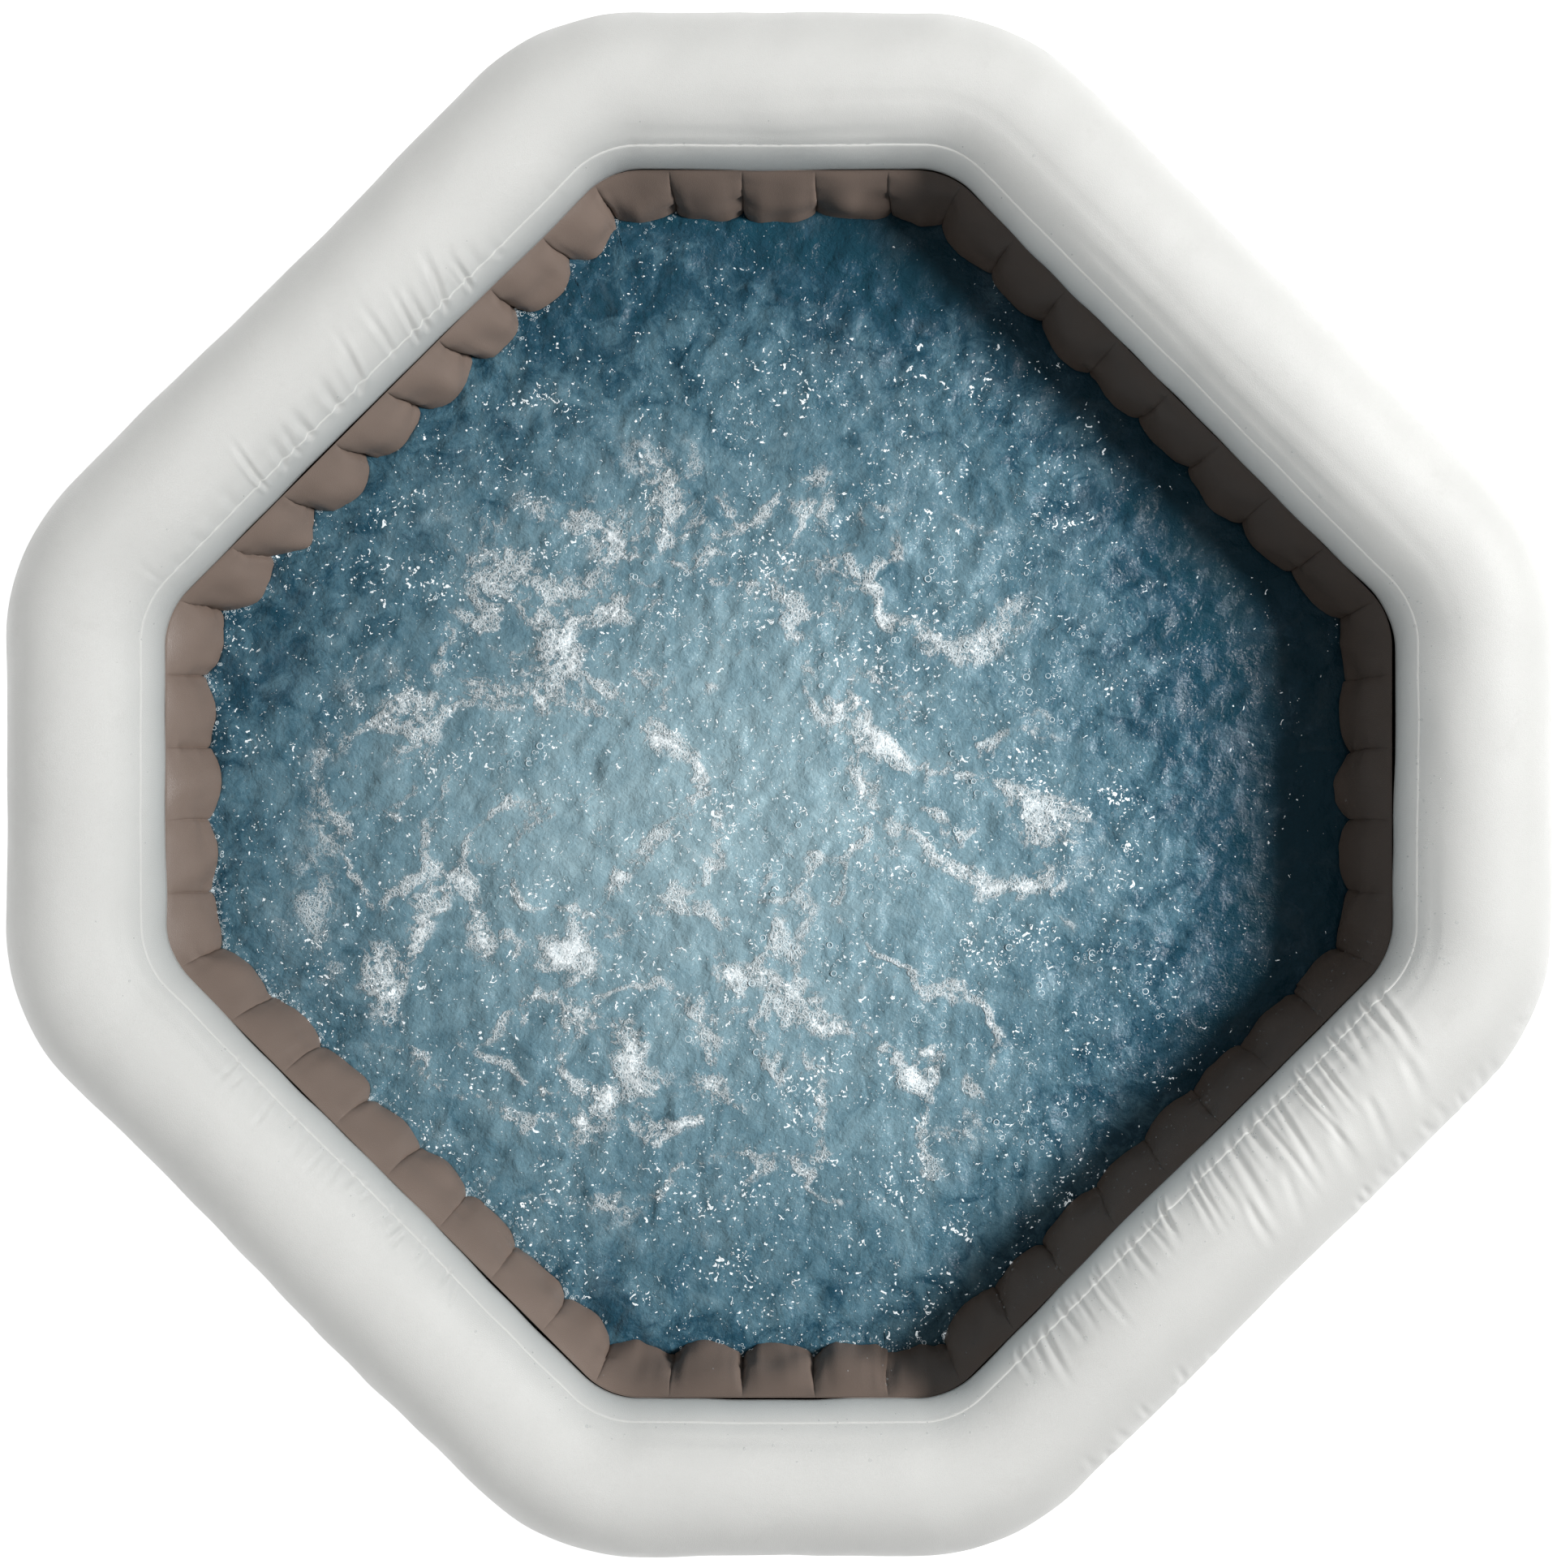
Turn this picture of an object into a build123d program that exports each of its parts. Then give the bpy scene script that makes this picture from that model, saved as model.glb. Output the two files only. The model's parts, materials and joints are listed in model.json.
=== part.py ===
"""Octagonal inflatable hot tub: laminated skins, tension beams, seams, fittings, handles and buckles.

The tub stands on Z = 0 with its centre on the Z axis. Its four short sides face +X, +Y, -X and -Y, and its
four long sides face the diagonals between them. Insets are measured inwards, at right angles to a side, from
the outermost line of the top rim. All sizes are in millimetres.
"""

from build123d import *
import os
from math import acos, cos, degrees, pi, radians, sin, sqrt, tan

# Overall form
overall_width = 2010.0  # across two opposite short sides
short_side = 612.0  # corner to corner, before the corners are rounded
overall_height = 710.0
corner_radius = 300.0  # of the outermost line of the rim, seen from above

# Top rim: an inflated tube whose skin laps over both walls
rim_diameter = 196.0
rim_overhang = 22.0  # the rim's outermost line stands this far outside the outer wall
rim_inner_hem = 10.0  # degrees that the rim's skin runs on below its innermost line
seam_above = 30.0  # degrees that the inner seam's tape runs up the rim from its innermost line
seam_below = 8.0

# Skins
skin = 1.2  # laminated sheet of rim, walls and floor
base_thickness = 1.5
tape = 1.0  # welded seam tape
tape_width = 16.0
band_height = 32.0  # scuff band round the foot of the outer wall
air_gap = 0.3  # between pieces that lie against each other without being welded

# Pleated inner wall and the beams that tie it to the outer wall
pleat_pitch = 98.0  # wished distance between two creases
pleat_bulge = 28.0  # how far a pleat swells out from the line between its creases
crease_setback = 8.0  # the creases lie this far inside the rim's innermost line
crease_weld = 1.5  # thickness of the sheet at a crease
beam_thickness = 1.0
beam_foot_gap = 12.0
beam_head_gap = 16.0

# Floor
pad_thickness = 8.0
bubble_ring_width = 46.0
bubble_ring_height = 24.0
bubble_ring_wall = 1.5
bubble_ring_setback = 2.0  # from the pleats that swell most, which are those on the corners
bubble_ring_edge = 3.0
bubble_hole_diameter = 3.0
bubble_holes_per_pleat = 2

# Water ports, one for each hose of the filter pump
port_height = 200.0
port_diameter = 50.0
port_wall = 3.0
port_reach = 40.0  # from the outer wall's face to the mouth
port_flange_diameter = 82.0
port_collar_diameter = 72.0
port_nut_size = 66.0
strainer_diameter = 70.0
strainer_grip = 12.0
strainer_face = 2.5

# Drain
drain_height = 62.0
drain_diameter = 26.0
drain_wall = 3.0
drain_reach = 24.0
drain_flange_diameter = 52.0
drain_collar_diameter = 44.0
drain_nut_size = 38.0
drain_cap_wall = 3.0
drain_plug_head = 34.0

# Parts that every through-wall fitting shares
gasket_thickness = 2.0
flange_thickness = 5.0
collar_proud = 3.0  # the liner collar stands this far out of the crown of its pleat
collar_depth = 20.0
nut_thickness = 8.0
turning_clearance = 0.15  # radial, between a cap or strainer and the tube that it turns on
spare = 1.0  # free play between a turning piece and the nut behind it

# Air port and duct for the bubble ring
air_port_height = 420.0
air_port_diameter = 32.0
air_port_reach = 38.0
air_port_flange_diameter = 50.0
air_mouth_diameter = 22.0
air_chamber_diameter = 24.0
air_chamber_depth = 25.0
air_seat_thickness = 3.0
duct_diameter = 16.0
duct_wall = 1.5
duct_bend_radius = 30.0
duct_socket = 12.0
flap_thickness = 1.5
flap_diameter = 21.0
flap_pin_diameter = 2.4

# Inflation valve
valve_height = 430.0
valve_flange_diameter = 78.0
valve_flange_thickness = 1.5
valve_socket_diameter = 52.0
valve_socket_wall = 4.0
valve_socket_depth = 30.0
valve_lip_height = 10.0  # how far the insert stands out of the wall
valve_lip_diameter = 46.0
valve_hub_diameter = 12.0
valve_hub_length = 10.0
valve_seat_thickness = 3.0
valve_seat_bore = 26.0
valve_seal_diameter = 32.0
valve_seal_thickness = 2.0
stem_diameter = 6.0
stem_button_diameter = 12.0
stem_button_thickness = 2.0
stem_travel = 5.0
spring_wire = 0.8
spring_diameter = 9.0
cap_wall = 2.0
cap_skirt = 6.0
cap_hinge_height = 31.0  # above the valve's axis
hinge_pin_diameter = 2.4
hinge_barrel_diameter = 4.8
hinge_barrel_length = 11.0
ear_thickness = 3.0

# Carrying handles, one on each long side
handle_height = 292.0
handle_span = 120.0  # between the middles of the two legs
handle_drop = 46.0
handle_leg_diameter = 12.0
handle_grip_diameter = 18.0
handle_grip_length = 84.0
handle_eye_diameter = 16.0
handle_eye_width = 13.0
handle_pin_diameter = 8.0
handle_standoff = 14.0  # pivot line to the outer wall's face
handle_patch_width = 196.0
handle_patch_height = 52.0
handle_patch_thickness = 2.0
handle_ear_thickness = 12.0

# Cover buckles, one on each short side
buckle_drop = 36.0  # bar to the top rim's outer seam
buckle_bar_diameter = 4.0
buckle_bar_length = 30.0
buckle_standoff = 9.0
buckle_patch_width = 64.0
buckle_patch_height = 46.0
buckle_patch_thickness = 1.5
webbing_width = 25.0
webbing_thickness = 1.6
webbing_length = 40.0
socket_width = 34.0
socket_length = 44.0
socket_thickness = 12.0
socket_wall = 2.5

# Where the fittings stand: sides are numbered from the +X side, every 45 degrees towards +Y
SHORT_SIDES = (0, 2, 4, 6)
LONG_SIDES = (1, 3, 5, 7)
PUMP_SIDE = 7
DRAIN_SIDE = 5

# Lengths that follow from the sizes above
half_width = overall_width / 2
long_side_distance = (overall_width + short_side) / 2 / sqrt(2)
long_side = (overall_width - short_side) / sqrt(2)
corner_cut = corner_radius * tan(pi / 8)
short_straight = short_side - 2 * corner_cut
long_straight = long_side - 2 * corner_cut
rim_radius = rim_diameter / 2
rim_height = overall_height - rim_radius  # of the tube's centre line
outer_hem = degrees(acos(1 - rim_overhang / rim_radius))
wall_inset = rim_overhang
wall_top = rim_height - rim_radius * sin(radians(outer_hem)) - air_gap
crease_inset = rim_diameter + crease_setback
crown_inset = crease_inset + pleat_bulge
liner_top = rim_height - rim_radius * sin(radians(rim_inner_hem)) - air_gap
floor_top = base_thickness + pad_thickness + skin
crown_depth = crown_inset - wall_inset  # from the outer wall's face to the crown of a pleat


def octagon_corners(inset):
    """The eight sharp corners of the outline at an inset."""
    half = half_width - inset
    cut = sqrt(2) * (long_side_distance - inset) - half
    quarter = [(half, -cut), (half, cut)]
    return [
        (x * cos(turn) - y * sin(turn), x * sin(turn) + y * cos(turn))
        for turn in (0, pi / 2, pi, 3 * pi / 2)
        for x, y in quarter
    ]


def octagon(inset, mode=Mode.ADD):
    """Adds the rounded octagon at an inset to the sketch that is being drawn."""
    with BuildLine() as outline:
        FilletPolyline(*octagon_corners(inset), radius=corner_radius - inset, close=True)
    make_face(outline.line, mode=mode)


def outline_point(distance, inset):
    """The point that far along the rounded outline from the middle of the +X side, and the way out there."""
    turn_radius = corner_radius - inset
    quarter = short_straight + long_straight + turn_radius * pi / 2
    quadrant, left = divmod(distance, quarter)
    x, y, heading = half_width - inset, 0.0, pi / 2
    for run in (short_straight / 2, long_straight, short_straight / 2):
        step = min(left, run)
        x, y, left = x + step * cos(heading), y + step * sin(heading), left - step
        turn = min(left / turn_radius, pi / 4)
        x += turn_radius * (sin(heading + turn) - sin(heading))
        y += turn_radius * (cos(heading) - cos(heading + turn))
        heading, left = heading + turn, left - turn * turn_radius
    about = Axis.Z
    point = Vector(x, y).rotate(about, 90 * quadrant)
    outward = Vector(sin(heading), -cos(heading)).rotate(about, 90 * quadrant)
    return point, outward


def crease_places():
    """Point and outward direction of each crease; a pleat sits in the middle of each short side."""
    quarter = short_straight + long_straight + (corner_radius - crease_inset) * pi / 2
    per_quarter = 2 * round((quarter / pleat_pitch - 1) / 2) + 1
    pitch = quarter / per_quarter
    return [outline_point((k + 0.5) * pitch, crease_inset) for k in range(4 * per_quarter)], pitch


creases, pitch = crease_places()
corner_squeeze = pitch**2 / 8 / (corner_radius - crease_inset)  # pleats stand out more on a corner
ring_inset = crown_inset + corner_squeeze + bubble_ring_setback


def pleated_outline(setback, bulge, mode=Mode.ADD):
    """Adds the pleated outline to the sketch: arcs that swell inwards between the creases."""
    corners = [point + outward * setback for point, outward in creases]
    with BuildLine() as outline:
        for start, end in zip(corners, corners[1:] + corners[:1]):
            chord = end - start
            inward = Vector(-chord.Y, chord.X).normalized()
            ThreePointArc(start, (start + end) * 0.5 + inward * bulge, end)
    make_face(outline.line, mode=mode)


def wall_plane(side, along, height):
    """Plane on the outer wall's face: X runs along the wall, Y up and Z outwards."""
    angle = side * pi / 4
    outward = Vector(cos(angle), sin(angle))
    tangent = Vector(-sin(angle), cos(angle))
    reach = half_width if side in SHORT_SIDES else long_side_distance
    origin = outward * (reach - wall_inset) + tangent * along + Vector(0, 0, height)
    return Plane(origin, x_dir=tangent, z_dir=outward)


def tube(plane, outer, inner, start, end, mode=Mode.ADD):
    """Adds a round tube, or a disc where inner is 0, between two heights over a plane. Sizes are diameters."""
    with BuildSketch(plane.offset(start)) as ring:
        Circle(outer / 2)
        if inner:
            Circle(inner / 2, mode=Mode.SUBTRACT)
    extrude(ring.sketch, amount=end - start, mode=mode)


def bar(plane, diameter, start, end, height, stand, mode=Mode.ADD):
    """Adds a round bar that runs along a wall, from one place to another over a plane on it."""
    side_on = Plane(plane.from_local_coords((start, height, stand)), x_dir=plane.z_dir, z_dir=plane.x_dir)
    with BuildSketch(side_on) as section:
        Circle(diameter / 2)
    extrude(section.sketch, amount=end - start, mode=mode)


def cross_bar(plane, diameter, length, height, stand, mode=Mode.ADD):
    """Adds a round bar along a wall, centred over a plane on it."""
    bar(plane, diameter, -length / 2, length / 2, height, stand, mode)


def slab(plane, width, height, thickness, stand, centre=(0, 0), corner=0.0):
    """Adds a flat plate over a plane, with rounded corners."""
    with BuildSketch(plane.offset(stand)) as outline:
        with Locations(centre):
            if corner:
                RectangleRounded(width, height, corner)
            else:
                Rectangle(width, height)
    extrude(outline.sketch, amount=thickness)


def swept_strip(radius, thickness, first, last):
    """A strip that follows the rim's round section from one angle to another, swept round the tub."""
    with BuildPart() as strip:
        with BuildLine(Plane.XY.offset(rim_height)) as path:
            FilletPolyline(
                *octagon_corners(rim_radius), radius=corner_radius - rim_radius, close=True
            )
        forward = path.line % 0
        across = Plane(path.line @ 0, x_dir=forward.cross(Vector(0, 0, 1)), z_dir=forward * -1)
        with BuildSketch(across):
            with BuildLine():
                outer = CenterArc((0, 0), radius + thickness, first, last - first)
                inner = CenterArc((0, 0), radius, first, last - first)
                Line(outer @ 0, inner @ 0)
                Line(outer @ 1, inner @ 1)
            make_face()
        sweep(path=path.line)
    return strip.part


def save(solid, name):
    """Writes one piece, under the name that it goes by."""
    solid.label = name
    export_step(solid, f"parts/{name}.step")


# Where each through-wall fitting stands
outlet_place = wall_plane(PUMP_SIDE, -1.5 * pitch, port_height)
inlet_place = wall_plane(PUMP_SIDE, 1.5 * pitch, port_height)
air_place = wall_plane(PUMP_SIDE, -0.5 * pitch, air_port_height)
valve_place = wall_plane(PUMP_SIDE, 0.5 * pitch, valve_height)
drain_place = wall_plane(DRAIN_SIDE, 0.5 * pitch, drain_height)
duct_end_height = floor_top + bubble_ring_height / 2
duct_end_place = wall_plane(PUMP_SIDE, -0.5 * pitch, duct_end_height)


def shell_pieces():
    """Rim, walls, floor, seams and beams."""
    save(swept_strip(rim_radius - skin, skin, -outer_hem, 180 + rim_inner_hem), "top_rim")
    save(swept_strip(rim_radius, tape, 180 - seam_above, 180 + seam_below), "rim_inner_seam")

    with BuildPart() as outer_wall:
        with BuildSketch(Plane.XY.offset(base_thickness)):
            octagon(wall_inset)
            octagon(wall_inset + skin, mode=Mode.SUBTRACT)
        extrude(amount=wall_top - base_thickness)
        for place, diameter in (
            (outlet_place, port_diameter),
            (inlet_place, port_diameter),
            (air_place, air_port_diameter),
            (valve_place, valve_socket_diameter),
            (drain_place, drain_diameter),
        ):
            tube(place, diameter, 0, -3 * skin, skin, mode=Mode.SUBTRACT)
    save(outer_wall.part, "outer_wall")

    with BuildPart() as inner_wall:
        with BuildSketch(Plane.XY.offset(base_thickness)):
            pleated_outline(crease_weld, pleat_bulge + crease_weld - skin)
            pleated_outline(0, pleat_bulge, mode=Mode.SUBTRACT)
        extrude(amount=liner_top - base_thickness)
        with BuildSketch(Plane.XY.offset(liner_top - skin)):
            octagon(rim_diameter - 2 * skin)
            pleated_outline(0, pleat_bulge, mode=Mode.SUBTRACT)
        extrude(amount=skin)
        for place, diameter in (
            (outlet_place, port_collar_diameter),
            (inlet_place, port_collar_diameter),
            (drain_place, drain_collar_diameter),
            (duct_end_place, duct_diameter),
        ):
            inside = -crown_depth
            tube(place, diameter, 0, inside - collar_proud, inside + pleat_bulge, mode=Mode.SUBTRACT)
    save(inner_wall.part, "inner_wall")

    with BuildPart() as outer_seam:
        with BuildSketch(Plane.XY.offset(wall_top - tape_width)):
            octagon(wall_inset - tape)
            octagon(wall_inset, mode=Mode.SUBTRACT)
        extrude(amount=tape_width)
    save(outer_seam.part, "rim_outer_seam")

    with BuildPart() as base_band:
        with BuildSketch(Plane.XY.offset(base_thickness)):
            octagon(wall_inset - skin)
            octagon(wall_inset, mode=Mode.SUBTRACT)
        extrude(amount=band_height)
    save(base_band.part, "base_band")

    with BuildPart() as base_sheet:
        with BuildSketch():
            octagon(wall_inset - skin)
        extrude(amount=base_thickness)
    save(base_sheet.part, "base_sheet")

    with BuildPart() as pad:
        with BuildSketch(Plane.XY.offset(base_thickness)):
            pleated_outline(-air_gap, pleat_bulge)
        extrude(amount=pad_thickness)
    save(pad.part, "insulation_pad")

    with BuildPart() as floor_sheet:
        with BuildSketch(Plane.XY.offset(base_thickness + pad_thickness)):
            pleated_outline(-air_gap, pleat_bulge)
        extrude(amount=skin)
    save(floor_sheet.part, "floor_sheet")

    beam_length = crease_inset - crease_weld - wall_inset - skin - 2 * air_gap
    beam_height = wall_top - base_thickness - beam_foot_gap - beam_head_gap
    middle = crease_weld + air_gap + beam_length / 2
    foot = Vector(0, 0, base_thickness + beam_foot_gap)
    with BuildPart() as beams:
        with Locations(
            *[
                Plane(point + outward * middle + foot, x_dir=outward, z_dir=(0, 0, 1)).location
                for point, outward in creases
            ]
        ):
            Box(
                beam_length,
                beam_thickness,
                beam_height,
                align=(Align.CENTER, Align.CENTER, Align.MIN),
            )
    save(beams.part, "wall_beams")


def bubble_ring_pieces():
    """The perforated air ring round the floor, and the duct that feeds it."""
    with BuildPart() as ring:
        with BuildSketch(Plane.XY.offset(floor_top)):
            octagon(ring_inset)
            octagon(ring_inset + bubble_ring_width, mode=Mode.SUBTRACT)
        extrude(amount=bubble_ring_height)
        fillet(ring.faces().sort_by(Axis.Z)[-1].edges(), bubble_ring_edge)
        with BuildSketch(Plane.XY.offset(floor_top + bubble_ring_wall)):
            octagon(ring_inset + bubble_ring_wall)
            octagon(ring_inset + bubble_ring_width - bubble_ring_wall, mode=Mode.SUBTRACT)
        extrude(amount=bubble_ring_height - 2 * bubble_ring_wall, mode=Mode.SUBTRACT)
        holes = len(creases) * bubble_holes_per_pleat
        middle = ring_inset + bubble_ring_width / 2
        quarter = short_straight + long_straight + (corner_radius - middle) * pi / 2
        spacing = 4 * quarter / holes
        with BuildSketch(Plane.XY.offset(floor_top + bubble_ring_height)):
            with Locations(*[outline_point((k + 0.5) * spacing, middle)[0] for k in range(holes)]):
                Circle(bubble_hole_diameter / 2)
        extrude(amount=-2 * bubble_ring_wall, mode=Mode.SUBTRACT)
        entry = wall_inset - ring_inset
        tube(
            duct_end_place, duct_diameter, 0, entry - 2 * bubble_ring_wall, entry, mode=Mode.SUBTRACT
        )
    save(ring.part, "bubble_ring")

    start = -gasket_thickness - air_chamber_depth - air_seat_thickness
    end = wall_inset - ring_inset - bubble_ring_wall
    turn = duct_bend_radius
    middle = (start - duct_socket + end) / 2
    drop = duct_end_height - air_port_height
    run = Plane(air_place.origin, x_dir=(0, 0, 1), z_dir=air_place.x_dir)
    with BuildPart() as duct:
        with BuildLine(run) as path:
            FilletPolyline((0, start), (0, middle), (drop, middle), (drop, end), radius=turn)
        with BuildSketch(Plane(path.line @ 0, z_dir=path.line % 0)):
            Circle(duct_diameter / 2)
            Circle(duct_diameter / 2 - duct_wall, mode=Mode.SUBTRACT)
        sweep(path=path.line)
    save(duct.part, "air_duct")


def through_wall_fitting(name, place, size):
    """Sleeve with its flange, gasket, liner collar and lock nut. size holds the fitting's own dimensions."""
    front = -crown_depth - collar_proud
    behind_nut = front - nut_thickness
    with BuildPart() as sleeve:
        tube(place, size["outer"], size["bore"], behind_nut - size["tail"], size["reach"])
        tube(place, size["flange"], size["outer"], gasket_thickness, gasket_thickness + flange_thickness)
        rim_edges = sleeve.edges().filter_by(GeomType.CIRCLE).filter_by(
            lambda edge: abs(edge.radius - size["flange"] / 2) < skin / 10
        )
        chamfer(rim_edges.sort_by(SortBy.DISTANCE)[0], flange_thickness / 4)
    save(sleeve.part, f"{name}_sleeve")

    with BuildPart() as gasket:
        tube(place, size["flange"] - 2 * gasket_thickness, size["outer"], 0, gasket_thickness)
    save(gasket.part, f"{name}_gasket")

    with BuildPart() as collar:
        tube(place, size["collar"], size["outer"], front, front + collar_depth)
    save(collar.part, f"{name}_collar")

    with BuildPart() as nut:
        with BuildSketch(place.offset(behind_nut)):
            RegularPolygon(size["nut"] / 2, 8, major_radius=False)
            Circle(size["outer"] / 2, mode=Mode.SUBTRACT)
        extrude(amount=nut_thickness)
    save(nut.part, f"{name}_lock_nut")


def water_port_pieces(name, place):
    """One water port, with the strainer that screws onto its inner end."""
    size = {
        "outer": port_diameter,
        "bore": port_diameter - 2 * port_wall,
        "reach": port_reach,
        "tail": spare + strainer_grip,
        "flange": port_flange_diameter,
        "collar": port_collar_diameter,
        "nut": port_nut_size,
    }
    through_wall_fitting(name, place, size)
    open_end = -crown_depth - collar_proud - nut_thickness - spare
    closed_end = open_end - strainer_grip - turning_clearance - strainer_face - port_wall
    ribs = 12
    with BuildPart() as strainer:
        tube(place, strainer_diameter, 0, closed_end, open_end)
        chamfer(strainer.faces().sort_by(SortBy.DISTANCE)[0].outer_wire().edges(), port_wall)
        tube(
            place,
            port_diameter + 2 * turning_clearance,
            0,
            closed_end + strainer_face,
            open_end,
            mode=Mode.SUBTRACT,
        )
        with BuildSketch(place.offset(closed_end)):
            with PolarLocations(port_diameter * 0.29, ribs):
                SlotOverall(port_diameter * 0.28, port_diameter * 0.06)
            Circle(port_diameter * 0.05)
        extrude(amount=strainer_face, mode=Mode.SUBTRACT)
    save(strainer.part, f"{name}_strainer")


def drain_pieces():
    """Drain at the foot of the wall, with a screw cap outside and a pull plug inside."""
    bore = drain_diameter - 2 * drain_wall
    size = {
        "outer": drain_diameter,
        "bore": bore,
        "reach": drain_reach,
        "tail": 2 * spare,
        "flange": drain_flange_diameter,
        "collar": drain_collar_diameter,
        "nut": drain_nut_size,
    }
    through_wall_fitting("drain", drain_place, size)

    cap_bore = drain_diameter + 2 * turning_clearance
    cap_diameter = cap_bore + 2 * drain_cap_wall
    cap_start = gasket_thickness + flange_thickness + spare
    cap_end = drain_reach + spare + drain_cap_wall
    with BuildPart() as cap:
        tube(drain_place, cap_diameter, 0, cap_start, cap_end)
        fillet(cap.faces().sort_by(SortBy.DISTANCE)[-1].outer_wire().edges(), drain_cap_wall / 2)
        with BuildSketch(drain_place.offset(cap_start)):
            with PolarLocations(cap_diameter / 2, 18):
                Circle(drain_cap_wall / 3)
        extrude(amount=cap_end - cap_start - drain_cap_wall, mode=Mode.SUBTRACT)
        tube(drain_place, cap_bore, 0, cap_start, cap_end - drain_cap_wall, mode=Mode.SUBTRACT)
    save(cap.part, "drain_cap")

    sleeve_end = -crown_depth - collar_proud - nut_thickness - 2 * spare
    head = sleeve_end - air_gap - drain_cap_wall
    with BuildPart() as plug:
        tube(drain_place, drain_plug_head, 0, head, head + drain_cap_wall)
        tube(
            drain_place,
            bore - 2 * turning_clearance,
            0,
            head + drain_cap_wall,
            head + drain_cap_wall + bore,
        )
        slab(
            drain_place,
            drain_cap_wall,
            bore,
            2 * drain_cap_wall,
            head - 2 * drain_cap_wall,
        )
    save(plug.part, "drain_plug")


def air_port_pieces():
    """Air spigot with its gasket and the flap that keeps water out of the air line."""
    seat = -gasket_thickness  # the seat's outer face, level with the back of the gasket's plane
    chamber = seat - air_seat_thickness
    chamber_end = chamber - air_chamber_depth
    seat_bore = duct_diameter
    pin_height = air_chamber_diameter / 2 - flap_pin_diameter
    pin_stand = chamber - air_gap - flap_pin_diameter / 2
    pocket = sqrt((air_port_diameter / 2) ** 2 - pin_height**2) * 2 - 4
    with BuildPart() as spigot:
        tube(air_place, air_port_diameter, 0, chamber_end - duct_socket, air_port_reach)
        tube(
            air_place,
            air_port_flange_diameter,
            0,
            gasket_thickness,
            gasket_thickness + flange_thickness,
        )
        tube(air_place, air_mouth_diameter, 0, seat, air_port_reach, mode=Mode.SUBTRACT)
        tube(air_place, seat_bore, 0, chamber_end - duct_socket, seat, mode=Mode.SUBTRACT)
        tube(air_place, air_chamber_diameter, 0, chamber_end, chamber, mode=Mode.SUBTRACT)
        cross_bar(
            air_place,
            flap_pin_diameter + turning_clearance,
            pocket,
            pin_height,
            pin_stand,
            mode=Mode.SUBTRACT,
        )
    save(spigot.part, "air_spigot")

    with BuildPart() as gasket:
        tube(
            air_place,
            air_port_flange_diameter - 2 * gasket_thickness,
            air_port_diameter,
            0,
            gasket_thickness,
        )
    save(gasket.part, "air_gasket")

    with BuildPart() as flap:
        tube(air_place, flap_diameter, 0, chamber - air_gap - flap_thickness, chamber - air_gap)
        cross_bar(air_place, flap_pin_diameter, pocket - spare, pin_height, pin_stand)
    save(flap.part, "air_flap")


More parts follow.
